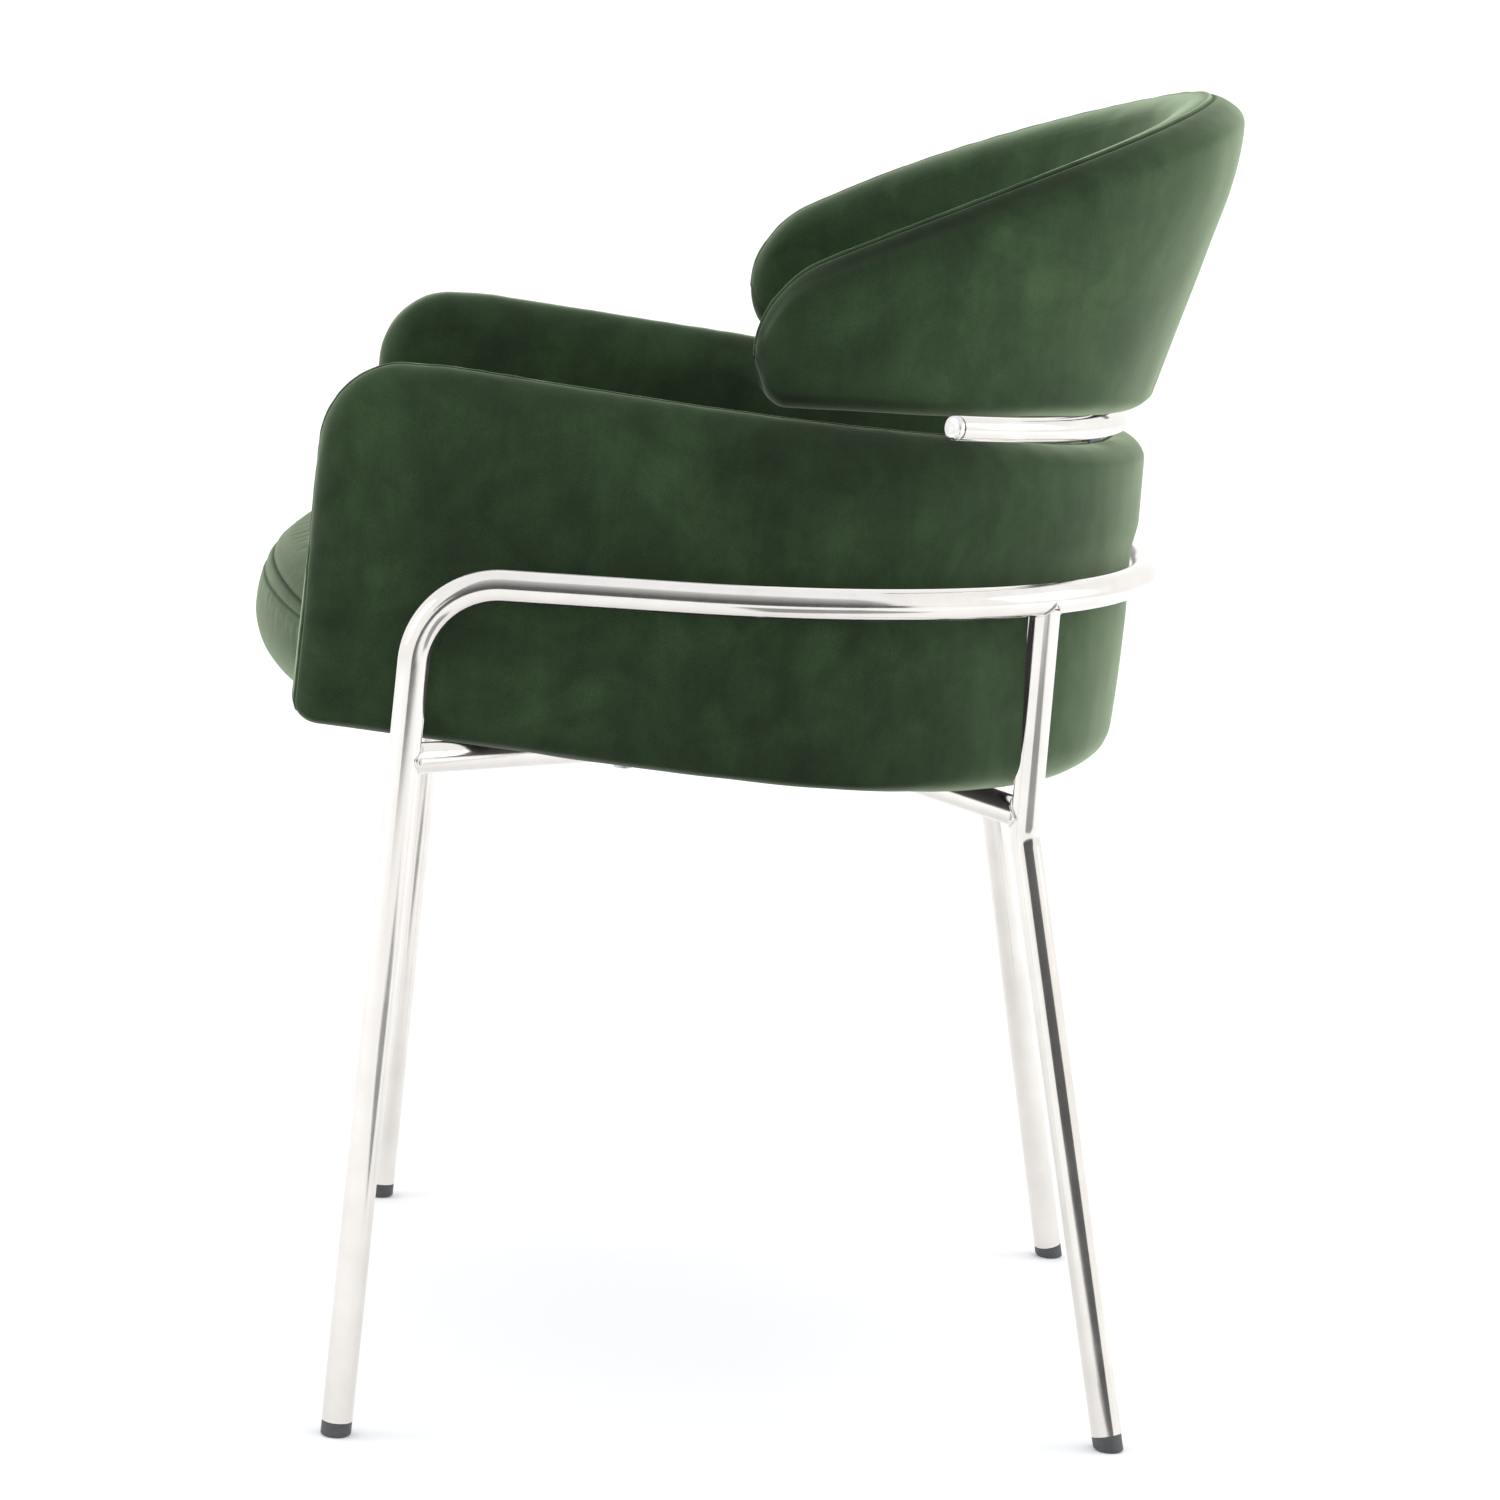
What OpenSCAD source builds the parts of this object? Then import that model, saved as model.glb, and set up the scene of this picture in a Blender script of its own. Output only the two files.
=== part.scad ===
// Upholstered dining armchair: a bent-tube frame with a padded tub, a seat and a winged back.
// Front faces -Y, +Z is up, and the origin is on the floor under the middle of the chair.

/* [Frame] */
// Outside diameter of the frame tube
tube_d = 18; // [16:0.5:20]
// Wall thickness of the frame tube
tube_wall = 1.5; // [1:0.25:2]
// Height of the hoop's centre line above the floor
hoop_z = 498.7; // [490:0.5:505]
// Centre-line radius of the hoop's rear arc
hoop_r = 280; // [279.5:0.1:280.5]
// Distance of the arc's centre from the origin, towards the front
hoop_back = 28.5; // [28:0.1:29]
// Where each front foot stands, from the middle line
front_foot_x = 268.7; // [264:0.5:272]
// Where each front foot stands, forward of the origin
front_foot_y = 202; // [196:0.5:208]
// Rearward lean of the front legs
front_lean = 2.5; // [1.5:0.1:3.5]
// Outward lean of the front legs
front_splay = 0.9; // [0:0.1:1.5]
// Centre-line radius of the front bends
front_bend_r = 48; // [40:1:55]
// Where each rear foot stands, from the middle line
rear_foot_x = 213.5; // [208:0.5:218]
// Where each rear foot stands, behind the origin
rear_foot_y = 249.9; // [246:0.5:254]
// Height of the rear legs' bend
rear_knee_z = 355; // [350:1:360]
// Centre-line radius of the rear legs' bend
rear_bend_r = 40; // [30:1:50]
// Angle round the hoop, from the rear, where each rear leg is welded on
rear_weld_angle = 43; // [42:0.5:44]
// Height of the cross tubes where they meet the front legs
brace_front_z = 397; // [394:0.5:398]
// Height of the cross tubes where they meet the rear legs
brace_rear_z = 367; // [364:0.5:370]

/* [Back support] */
// Outside diameter of the back support tube
support_d = 14; // [13:0.5:14]
// Centre-line radius of the back support tube
support_r = 285; // [284:0.5:286]
// Half of the angle that the back support tube spans
support_half_angle = 52.6; // [50:0.2:54]
// Height of the support tube's centre line at the rear
support_z = 590; // [589.5:0.1:590.5]
// How far the support tube's plane rises towards the front
support_tilt = 3.5; // [3.3:0.1:3.7]

/* [Tub] */
// Radius of the tub's outside face round the rear
tub_r = 270.5; // [270:0.1:270.6]
// Thickness of the padded tub wall
tub_t = 46; // [44:1:48]
// Height of the arm crest above the origin
arm_crest_z = 601.8; // [600:0.2:603]
// Height of the tub's lower edge above the origin
tub_bottom_z = 392; // [391:0.5:393]
// Distance of the arms' front edge from the origin, at the middle of its height
arm_front_y = 241.5; // [239:0.5:244]

/* [Seat] */
// Furthest point of the seat's nose, forward of the origin
seat_nose_y = 288.2; // [286:0.2:290]
// Height of the seat's crown at the nose
seat_top_z = 505; // [500:1:510]
// Radius of the seat's front edge in plan
seat_front_r = 600; // [500:10:700]
// Thickness of the seat's plywood panel
seat_ply = 15; // [12:1:18]

/* [Upper back] */
// Radius of the upper back's middle surface
back_r = 239; // [238:0.1:240]
// Thickness of the padded upper back
back_t = 44; // [42:1:46]
// Height of the upper back's crest at the rear
back_crest_z = 787.5; // [780:0.5:790]
// Lean of the upper back, from the vertical
back_lean = 16.3; // [16:0.1:16.5]

/* [Hidden] */
$fn = 48;

chrome = [0.82, 0.82, 0.84];
velvet = [0.16, 0.27, 0.16];
plywood = [0.78, 0.62, 0.42];
foam = [0.93, 0.9, 0.8];
steel = [0.55, 0.56, 0.58];
dark_plastic = [0.2, 0.2, 0.21];

tube_r = tube_d / 2;
bore_r = tube_r - tube_wall;
bend_relief = 0.02;
bend_lap = 0.4;
support_bore_r = support_d / 2 - tube_wall;
gap = 0.3;
cover_t = 1.5;
hoop_c = [0, -hoop_back, hoop_z];
ply_t = 12;
core_out = 16;
core_in = core_out + ply_t;

// Frame nodes' centre lines, for the right-hand side of the chair (+X)
front_foot = [front_foot_x, -front_foot_y, 0];
front_knee = front_foot + hoop_z * [tan(front_splay), tan(front_lean), 1];
knee_reach = norm([front_knee.x, front_knee.y - hoop_c.y]);
knee_angle = atan2(front_knee.y - hoop_c.y, front_knee.x);
toe_in = -(knee_angle + acos(hoop_r / knee_reach));
hoop_tangent = hoop_c + hoop_r * [cos(toe_in), -sin(toe_in), 0];
rear_foot = [rear_foot_x, rear_foot_y, 0];
rear_knee = [162, 177.2, rear_knee_z];
rear_top = hoop_c + hoop_r * [sin(rear_weld_angle), cos(rear_weld_angle), 0];
brace_front = front_foot + brace_front_z * [tan(front_splay), tan(front_lean), 1];
knee_to_top = (rear_top - rear_knee) / (rear_top.z - rear_knee.z);
brace_rear = rear_knee + (brace_rear_z - rear_knee_z) * knee_to_top;
brace_cross = brace_front + (brace_flip(brace_rear) - brace_front)
    * brace_front.x / (brace_front.x + brace_rear.x);

function brace_flip(p) = [-p.x, p.y, p.z];
function unit(v) = v / norm(v);
function clamp01(x) = max(0, min(1, x));

// ---- tubes -------------------------------------------------------------------------------

// Moves a solid from the Z axis onto the line from a to b
module along(a, b) {
    d = b - a;
    translate(a) rotate([0, acos(d.z / norm(d)), atan2(d.y, d.x)]) children();
}

module rod(a, b, r, spin = 0) {
    along(a, b) rotate([0, 0, spin]) cylinder(r = r, h = norm(b - a));
}

// Both ends of the bend of radius r that joins the lines a-v and v-b
function bend_setback(a, v, b, r) = r * tan(acos(unit(v - a) * unit(b - v)) / 2);
function bend_start(a, v, b, r) = v - unit(v - a) * bend_setback(a, v, b, r);
function bend_end(a, v, b, r) = v + unit(b - v) * bend_setback(a, v, b, r);

module ring(outer, inner) {
    difference() {
        circle(r = outer);
        circle(r = inner);
    }
}

// A straight length of the frame tube, which runs past b by lap to fuse with a bend
module pipe(a, b, lap) {
    along(a, b) linear_extrude(norm(b - a) + lap) ring(tube_r, bore_r);
}

// The tube's wall is a little thinner in a bend
module bent_ring() {
    ring(tube_r - bend_relief, bore_r + bend_relief);
}

module bend(a, v, b, r) {
    d1 = unit(v - a);
    d2 = unit(b - v);
    inward = unit(d2 - (d1 * d2) * d1);
    turn = cross(d1, inward);
    c = bend_start(a, v, b, r) + r * inward;
    multmatrix([
        [-inward.x, d1.x, turn.x, c.x],
        [-inward.y, d1.y, turn.y, c.y],
        [-inward.z, d1.z, turn.z, c.z],
        [0, 0, 0, 1]
    ]) rotate_extrude(angle = acos(d1 * d2), $fn = 96) translate([r, 0]) bent_ring();
}

module mirrored() {
    children();
    mirror([1, 0, 0]) children();
}

// ---- metal frame -------------------------------------------------------------------------

foot_trim = tube_d * 0.5;

function on_line(a, b, t) = a + unit(b - a) * t;

// Front leg, front bend and straight side of the hoop, on the right
module hoop_side() {
    leg_end = bend_start(front_foot, front_knee, hoop_tangent, front_bend_r);
    side_start = bend_end(front_foot, front_knee, hoop_tangent, front_bend_r);
    pipe(on_line(front_foot, front_knee, foot_trim), leg_end, bend_lap);
    bend(front_foot, front_knee, hoop_tangent, front_bend_r);
    pipe(on_line(side_start, hoop_tangent, -bend_lap), hoop_tangent, bend_lap);
}

module hoop_tube() {
    color(chrome) {
        translate(hoop_c) rotate([0, 0, -toe_in])
            rotate_extrude(angle = 180 + 2 * toe_in, $fn = 180)
                translate([hoop_r, 0]) bent_ring();
        mirrored() hoop_side();
    }
}

// The leg's upper end is cut to the hoop, which is taken as straight across the weld
module rear_leg() {
    weld_along = 20 * [cos(rear_weld_angle), -sin(rear_weld_angle), 0];
    knee_start = bend_start(rear_foot, rear_knee, rear_top, rear_bend_r);
    knee_end = bend_end(rear_foot, rear_knee, rear_top, rear_bend_r);
    color(chrome) {
        pipe(on_line(rear_foot, rear_knee, foot_trim), knee_start, bend_lap);
        bend(rear_foot, rear_knee, rear_top, rear_bend_r);
        difference() {
            pipe(on_line(knee_end, rear_top, -bend_lap), on_line(rear_top, rear_knee, 1), 0);
            rod(rear_top - weld_along, rear_top + weld_along, tube_r);
        }
    }
}

module rear_leg_right() {
    rear_leg();
}

module rear_leg_left() {
    mirror([1, 0, 0]) rear_leg();
}

bolt_r = 3;
bolt_clear_r = 3.3;
bolt_front_share = 0.55;
bolt_rear_share = 0.6;
bolt_front = brace_cross + (brace_front - brace_cross) * (1 - bolt_front_share);
bolt_rear = brace_cross + (brace_rear - brace_cross) * (1 - bolt_rear_share);

module at_bolts() {
    for (side = [-1, 1], p = [bolt_front, bolt_rear])
        translate([side * p.x, p.y, 0]) children();
}

module bolt_holes(r) {
    at_bolts() translate([0, 0, 300]) cylinder(r = r, h = 150);
}

// Turns the braces' seam to the side, clear of the bolt holes
brace_spin = 80;
// A brace's end is this far from the tube that it is welded to
weld_gap = 0.05;

module brace_tube(a, b) {
    difference() {
        rod(a, b, tube_r, brace_spin);
        rod(a - (b - a), b + (b - a), bore_r, brace_spin);
        bolt_holes(bolt_clear_r);
        mirrored() {
            rod(front_foot, front_knee, tube_r + weld_gap);
            rod(rear_knee, rear_top, tube_r + weld_gap);
        }
    }
}

module brace_long() {
    color(chrome) brace_tube(brace_front, brace_flip(brace_rear));
}

module brace_half_front() {
    color(chrome) difference() {
        brace_tube(brace_flip(brace_front), brace_cross);
        rod(brace_front, brace_flip(brace_rear), tube_r + weld_gap);
    }
}

module brace_half_rear() {
    color(chrome) difference() {
        brace_tube(brace_cross, brace_rear);
        rod(brace_front, brace_flip(brace_rear), tube_r + weld_gap);
    }
}

// Push-in foot: a ribbed plug in the tube and a cap that is cut flat at the floor
module glide(foot, knee) {
    plug_end = foot_trim + 16;
    color(dark_plastic) intersection() {
        union() {
            rod(on_line(foot, knee, -tube_r), on_line(foot, knee, foot_trim), tube_r - 0.2);
            rod(on_line(foot, knee, foot_trim - 1), on_line(foot, knee, plug_end), bore_r - 0.1);
        }
        union() {
            translate([foot.x, foot.y, 0]) cylinder(r1 = tube_r - 1.2, r2 = tube_r + 0.8, h = 2);
            translate([foot.x, foot.y, 1.9]) cylinder(r = tube_r * 2, h = plug_end + 10);
        }
    }
}

module glide_front_right() {
    glide(front_foot, front_knee);
}

module glide_front_left() {
    mirror([1, 0, 0]) glide(front_foot, front_knee);
}

module glide_rear_right() {
    glide(rear_foot, rear_knee);
}

module glide_rear_left() {
    mirror([1, 0, 0]) glide(rear_foot, rear_knee);
}

// ---- back support ------------------------------------------------------------------------

support_rear_y = 230.2;

// Puts a solid that is drawn round the Z axis into the support tube's tilted plane
module in_support_plane() {
    translate([0, support_rear_y, support_z]) rotate([-support_tilt, 0, 0])
        translate([0, -support_r, 0]) children();
}

module support_arc(r) {
    in_support_plane() rotate([0, 0, 90 - support_half_angle])
        rotate_extrude(angle = 2 * support_half_angle, $fn = 180)
            translate([support_r, 0]) circle(r = r);
}

module back_support_tube() {
    color(chrome) difference() {
        support_arc(support_d / 2);
        support_arc(support_bore_r);
    }
}

// End cap: a plug in the tube, a narrow groove and a slightly domed head
module support_cap() {
    head_h = 6;
    dome_r = 30;
    color(chrome) in_support_plane() rotate([0, 0, 90 - support_half_angle])
        translate([support_r, 0, 0]) rotate([90, 0, 0]) {
            translate([0, 0, -12]) cylinder(r = support_bore_r - 0.1, h = 13);
            translate([0, 0, 0.8]) intersection() {
                cylinder(r = support_d / 2, h = head_h);
                translate([0, 0, head_h - dome_r]) sphere(r = dome_r, $fn = 96);
            }
        }
}

module support_cap_right() {
    support_cap();
}

module support_cap_left() {
    mirror([1, 0, 0]) support_cap();
}

post_angle = 20;
post_w = 25;
post_t = 5;
post_low_z = 470;
post_bend_z = 549;
post_high_z = 690;
tub_inner_core_r = tub_r - core_in;
post_y = tub_inner_core_r - gap;

// Puts a solid that is drawn at the rear middle at the post's angle round the tub
module at_post(side) {
    translate([0, -hoop_back, 0]) rotate([0, 0, -side * post_angle]) children();
}

// Side view of the bent bar, drawn across its width
module post_bar() {
    lean = [sin(back_lean), cos(back_lean)];
    bend = [post_y, post_bend_z];
    top = bend + (post_high_z - post_bend_z) * lean;
    rotate([90, 0, 90]) linear_extrude(post_w, center = true) polygon([
        [post_y - post_t, post_low_z],
        [post_y, post_low_z],
        bend,
        top,
        top + post_t * [-lean.y, lean.x],
        [post_y - post_t, post_bend_z + post_t * tan(back_lean / 2)]
    ]);
}

post_screw_z = [485, 520];
post_screw_up = [60, 95];
screw_r = 2;

module post_screw_axes(lower) {
    if (lower)
        for (z = post_screw_z)
            translate([0, post_y, z]) rotate([-90, 0, 0]) children();
    else
        translate([0, post_y, post_bend_z]) rotate([-back_lean, 0, 0])
            for (z = post_screw_up)
                translate([0, 0, z]) rotate([-90, 0, 0]) children();
}

module post_screw() {
    translate([0, 0, -post_t]) cylinder(r = screw_r, h = 14);
    translate([0, 0, -post_t - 2.4]) cylinder(r = 4, h = 2.4);
}

module post_screw_hole() {
    translate([0, 0, -post_t - 1]) cylinder(r = screw_r, h = 16);
}

module back_post(side) {
    color(steel) difference() {
        at_post(side) difference() {
            post_bar();
            post_screw_axes(true) post_screw_hole();
            post_screw_axes(false) post_screw_hole();
        }
        support_arc(support_d / 2);
    }
}

module back_post_left() {
    back_post(-1);
}

module back_post_right() {
    back_post(1);
}

module post_screws_lower() {
    color(steel) for (side = [-1, 1]) at_post(side) post_screw_axes(true) post_screw();
}

module post_screws_upper() {
    color(steel) for (side = [-1, 1]) at_post(side) post_screw_axes(false) post_screw();
}

// ---- seat panel and its fixings ----------------------------------------------------------

// The tub's lower edge and the seat panel share one slope, down towards the rear
bottom_slope = 0.075;
panel_lift = 10;
panel_tilt = atan(bottom_slope);

function bottom_z(y) = tub_bottom_z - bottom_slope * y + 0.0002 * pow(max(0, y - 60), 2);
function panel_z(y) = tub_bottom_z + panel_lift - bottom_slope * y;

// Puts a solid that is drawn on the XY plane onto the underside of the seat panel
module on_panel() {
    translate([0, 0, tub_bottom_z + panel_lift]) rotate([-panel_tilt, 0, 0]) children();
}

// Plan of the tub at radius r: a rear arc with two straight sides that toe in
module tub_plan(r, length) {
    front_x = r * cos(toe_in) - length * sin(toe_in);
    front_y = -r * sin(toe_in) - length * cos(toe_in);
    step = (90 + toe_in) / 32;
    translate([0, -hoop_back]) polygon(concat(
        [for (i = [-32:32]) r * [sin(i * step), cos(i * step)]],
        [[front_x, front_y], [-front_x, front_y]]
    ));
}

// A disc that bounds the seat's rounded front at the distance y from the origin
module front_disc(y) {
    translate([0, seat_front_r - y]) circle(r = seat_front_r, $fn = 240);
}

panel_front_y = 246;

module seat_panel() {
    color(plywood) difference() {
        on_panel() linear_extrude(seat_ply) intersection() {
            tub_plan(tub_inner_core_r - gap, 205);
            front_disc(panel_front_y);
        }
        bolt_holes(nut_barrel_r);
        panel_screw_axes() translate([0, 0, -1]) cylinder(r = screw_r, h = 40);
    }
}

nut_barrel_r = 4.2;

module brace_spacers() {
    color(dark_plastic) difference() {
        at_bolts() translate([0, 0, 360]) cylinder(r = 8, h = 60);
        on_panel() translate([-300, -300, -gap]) cube([600, 600, 100]);
        mirrored() rod(brace_front, brace_flip(brace_rear), tube_r);
        bolt_holes(bolt_clear_r);
        for (p = [bolt_front, bolt_rear], side = [-1, 1])
            translate([side * p.x, p.y, p.z - 30]) cube([30, 30, 60], center = true);
    }
}

module brace_bolts() {
    color(steel) for (side = [-1, 1], p = [bolt_front, bolt_rear])
        translate([side * p.x, p.y, p.z - tube_r]) {
            translate([0, 0, -4]) cylinder(r = 5.5, h = 3.6);
            translate([0, 0, -0.5]) cylinder(r = bolt_r, h = panel_z(p.y) - p.z + tube_r + 8);
        }
}

module seat_tee_nuts() {
    color(steel) for (side = [-1, 1], p = [bolt_front, bolt_rear])
        translate([side * p.x, p.y, panel_z(p.y)]) difference() {
            union() {
                translate([0, 0, 3]) cylinder(r = nut_barrel_r - 0.1, h = seat_ply - 2);
                translate([0, 0, seat_ply + 1]) cylinder(r = 9, h = 1.5);
            }
            translate([0, 0, -1]) cylinder(r = bolt_r + 0.05, h = 40);
        }
}

panel_screw_head_r = 3.5;
panel_screw_angles = [-78, -33, 33, 78];

module panel_screw_axes() {
    for (a = panel_screw_angles) {
        y = -hoop_back + tub_inner_core_r * cos(a);
        translate([tub_inner_core_r * sin(a), y, panel_z(y) + seat_ply / 2])
            rotate([0, 0, -a]) rotate([90, 0, 0]) translate([0, 0, -ply_t]) children();
    }
}

module panel_screws() {
    color(steel) panel_screw_axes() {
        cylinder(r = screw_r, h = 38);
        cylinder(r = panel_screw_head_r, h = 2);
    }
}

module dust_cover() {
    color([0.12, 0.12, 0.12]) difference() {
        on_panel() translate([0, 0, -1]) linear_extrude(0.7) intersection() {
            tub_plan(tub_inner_core_r - 4, 200);
            front_disc(panel_front_y - 4);
        }
        at_bolts() translate([0, 0, 300]) cylinder(r = 9, h = 200);
    }
}

// ---- seat upholstery ---------------------------------------------------------------------

nose_bottom_z = 397;
nose_seam_z = 472;
crown_z = seat_top_z + 4;
seat_side_gap = 0.6;

// Side view of the cushion as [distance behind the nose, height], smaller by inset
function nose_curve(inset) = [
    for (a = [-70:10:90])
        [58 - (58 - inset) * cos(a),
         (seat_top_z + nose_bottom_z) / 2 - 6 + ((a > 0 ? 61.5 : 49.5) - inset) * sin(a)]
];

module seat_profile(inset) {
    low_y = 40;
    panel_top = panel_z(-panel_front_y) + seat_ply;
    polygon(concat(
        [for (p = nose_curve(inset)) [seat_front_r - p.x, p.y]],
        [[seat_front_r - 160, crown_z - inset], [seat_front_r - 480, crown_z - 8 - inset],
         [seat_front_r - 560, crown_z - 20 - inset],
         [seat_front_r - 560, panel_z(560 - seat_nose_y) + seat_ply + inset + gap],
         [seat_front_r - low_y - 6, panel_top + inset + gap],
         [seat_front_r - low_y - 6, nose_bottom_z + inset + 2]]
    ));
}

module seat_body(inset) {
    intersection() {
        translate([0, seat_front_r - seat_nose_y, 0])
            rotate_extrude($fn = 240) seat_profile(inset);
        translate([0, 0, 380]) linear_extrude(150)
            tub_plan(tub_r - tub_t - seat_side_gap - inset, 260);
    }
}

module seat_foam() {
    color(foam) seat_body(cover_t);
}

module seat_skin() {
    difference() {
        seat_body(0);
        seat_body(cover_t - 0.1);
        translate([-300, -240, 380]) cube([600, 600, 37]);
    }
}

module seat_cover_top() {
    color(velvet) intersection() {
        seat_skin();
        translate([-300, -300, nose_seam_z]) cube([600, 600, 100]);
    }
}

module seat_cover_front() {
    color(velvet) difference() {
        seat_skin();
        translate([-300, -300, nose_seam_z - 0.2]) cube([600, 600, 100]);
    }
}

// ---- tub upholstery ----------------------------------------------------------------------

// The tub wall is lofted from rings. A ring sits at the distance w along the wall's middle
// surface, measured from the rear middle, and is drawn in n, outward from that surface, and z.
wall_r = tub_r - tub_t / 2;
wall_arc = wall_r * (90 + toe_in) * PI / 180;
wall_front = wall_arc + (arm_front_y - hoop_back - wall_r * sin(toe_in)) / cos(toe_in);
front_edge_lean = 0.058;
arm_corner_r = 45;
front_round = 20;

function wall_point(w, n, z) =
    let (side = w < 0 ? -1 : 1, d = abs(w))
    d < wall_arc
        ? let (a = d / wall_r * 180 / PI, r = wall_r + n)
            [side * r * sin(a), -hoop_back + r * cos(a), z]
        : let (k = d - wall_arc) [
            side * ((wall_r + n) * cos(toe_in) - k * sin(toe_in)),
            -hoop_back - (wall_r + n) * sin(toe_in) - k * cos(toe_in) - front_lean_y(k, z),
            z];

// The front edge leans: the lower it is, the further forward
function front_lean_y(k, z) =
    clamp01(k / (wall_front - wall_arc)) * front_edge_lean * (500 - z);

function crest_z(y) = arm_crest_z - 0.088 * y;

// How far a rounded corner of radius r has dropped at the distance d from its edge
function corner_drop(d, r) = d >= r ? 0 : r - sqrt(r * r - (r - d) * (r - d));

function wall_top(w) =
    let (y = wall_point(w, 0, 500).y)
    crest_z(max(y, -170)) - corner_drop(wall_front - abs(w), arm_corner_r);
function wall_low(w) =
    let (y = wall_point(w, 0, 500).y)
    bottom_z(y) + corner_drop(wall_front - abs(w), 16);
function wall_half(w) =
    let (d = min(1, (wall_front - abs(w)) / front_round))
    tub_t / 2 * sqrt(1 - (1 - d) * (1 - d));

// The outside face draws in towards the lower edge, more beside a rear leg, and bulges above the hoop
rear_leg_w = wall_r * rear_weld_angle * PI / 180;
function tub_taper(w, z) =
    (9 + 4.5 * exp(-pow((abs(w) - rear_leg_w) / 60, 2))) * pow(clamp01((515 - z) / 115), 1.3)
    - 3.5 * clamp01((z - 512) / 20);

top_round = 26;
low_round = 30;

// Half of a ring, from the lower edge to the crest: side is 1 outside and -1 inside
function half_ring(low, high, half, side, inset, steps) = concat(
    [for (i = [0:steps])
        let (a = 90 * i / steps - 90)
        [side * max(0.2, (half - inset) * cos(a)), low + low_round + (low_round - inset) * sin(a)]],
    [for (i = [1:steps - 1])
        let (face_h = high - top_round - low - low_round)
        [side * max(0.2, half - inset), low + low_round + face_h * i / steps]],
    [for (i = [0:steps])
        let (a = 90 * i / steps)
        [side * max(0.2, (half - inset) * cos(a)), high - top_round + (top_round - inset) * sin(a)]]
);

tub_stations = concat(
    [for (a = [12:13:90]) -wall_front + front_round * (1 - sin(90 - a))],
    [for (d = [28:12:64]) -wall_front + d],
    [for (i = [0:24]) (wall_front - 80) * (i / 12 - 1)],
    [for (d = [64:-12:28]) wall_front - d],
    [for (a = [90:-13:12]) wall_front - front_round * (1 - sin(90 - a))]
);

// Joins equal rings of points into one closed solid
module loft(rings) {
    count = len(rings[0]);
    last = len(rings) - 1;
    points = [for (ring = rings, p = ring) p];
    walls = [for (i = [0:last - 1], j = [0:count - 1])
        let (k = (j + 1) % count, a = i * count, b = a + count)
        each [[a + j, b + j, b + k], [a + j, b + k, a + k]]];
    first_cap = [for (j = [0:count - 1]) j];
    last_cap = [for (j = [count - 1:-1:0]) last * count + j];
    polyhedron(points = points, faces = concat(walls, [first_cap, last_cap]), convexity = 6);
}

function reversed(list) = [for (i = [len(list) - 1:-1:0]) list[i]];

// The inside stops above the seat panel, except at the arm's front end
function inner_low(w) =
    let (y = wall_point(w, 0, 500).y, above = panel_z(y) + seat_ply + gap)
    wall_low(w) + (above - wall_low(w)) * clamp01((y + 235) / 30);

// A ring of the layer from outer_inset to inner_inset, or to the core's face when one is given
function tub_ring(w, side, outer_inset, inner_inset, steps, face) =
    let (
        low = side > 0 ? wall_low(w) : inner_low(w),
        high = wall_top(w),
        half = wall_half(w),
        outer = half_ring(low, high, half, side, outer_inset, steps),
        inner = half_ring(low, high, half, side, inner_inset, steps)
    )
    concat(
        [for (p = outer) wall_point(w, tapered(w, side, p), p.y)],
        [for (p = reversed(inner))
            let (n = tapered(w, side, p))
            wall_point(w, is_undef(face) ? n : side * min(abs(n), face), p.y)]
    );

function tapered(w, side, p) = side < 0 ? p.x : p.x - min(tub_taper(w, p.y), p.x / 2);

outer_face = tub_t / 2 - core_out + gap;
inner_face = core_in - tub_t / 2 + gap;
skin_inset = cover_t - 0.1;
foam_edge = cover_t + 1;

// The core's lower edge is this far above the cover's, and its top edge falls towards the posts
core_lift = 10;
core_rear_z = 530;

module tub_core() {
    front_y = arm_front_y - 14;
    top_front = crest_z(-170) - 20;
    corner = arm_corner_r - 14;
    color(plywood) difference() {
        translate([0, 0, 380]) linear_extrude(240) difference() {
            tub_plan(tub_r - core_out, 260);
            tub_plan(tub_inner_core_r, 262);
        }
        // Side view of what the core leaves free: front edge, crest and lower edge
        rotate([90, 0, 90]) linear_extrude(700, center = true) difference() {
            translate([-400, 300]) square([800, 400]);
            union() {
                translate([-front_y + corner, top_front - corner]) circle(r = corner);
                polygon(concat(
                    [[-front_y, top_front - corner]],
                    [for (y = [-front_y:20:280]) [y, bottom_z(y) + core_lift]],
                    [[280, core_rear_z], [60, crest_z(60) - 20], [-front_y + corner, top_front]]
                ));
            }
        }
        panel_screw_axes() translate([0, 0, -3]) cylinder(r = screw_r, h = 30);
        panel_screw_axes() translate([0, 0, -3]) cylinder(r = panel_screw_head_r + 0.1, h = 5.1);
        for (side = [-1, 1]) at_post(side) post_screw_axes(true) post_screw_hole();
    }
}

module tub_foam_outer() {
    color(foam) difference() {
        loft([for (w = tub_stations) tub_ring(w, 1, cover_t, foam_edge, 5, outer_face)]);
        post_slots();
    }
}

module tub_foam_inner() {
    color(foam) difference() {
        loft([for (w = reversed(tub_stations))
            tub_ring(w, -1, cover_t, foam_edge, 5, inner_face)]);
        for (side = [-1, 1]) at_post(side) post_pocket();
        post_slots();
    }
}

// Room in the foam for a post and its screw heads
module post_pocket() {
    translate([-post_w / 2 - 1, post_y - post_t - 4, post_low_z - 5]) cube([post_w + 2, 14, 260]);
}

// Slots that let the posts through the covers and the edges of the foam
module post_slots() {
    for (side = [-1, 1]) at_post(side)
        translate([-post_w / 2 - 0.5, post_y, post_bend_z]) rotate([-back_lean, 0, 0])
            translate([0, -post_t - 0.5, 0]) cube([post_w + 1, post_t + 1, 80]);
}

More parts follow.
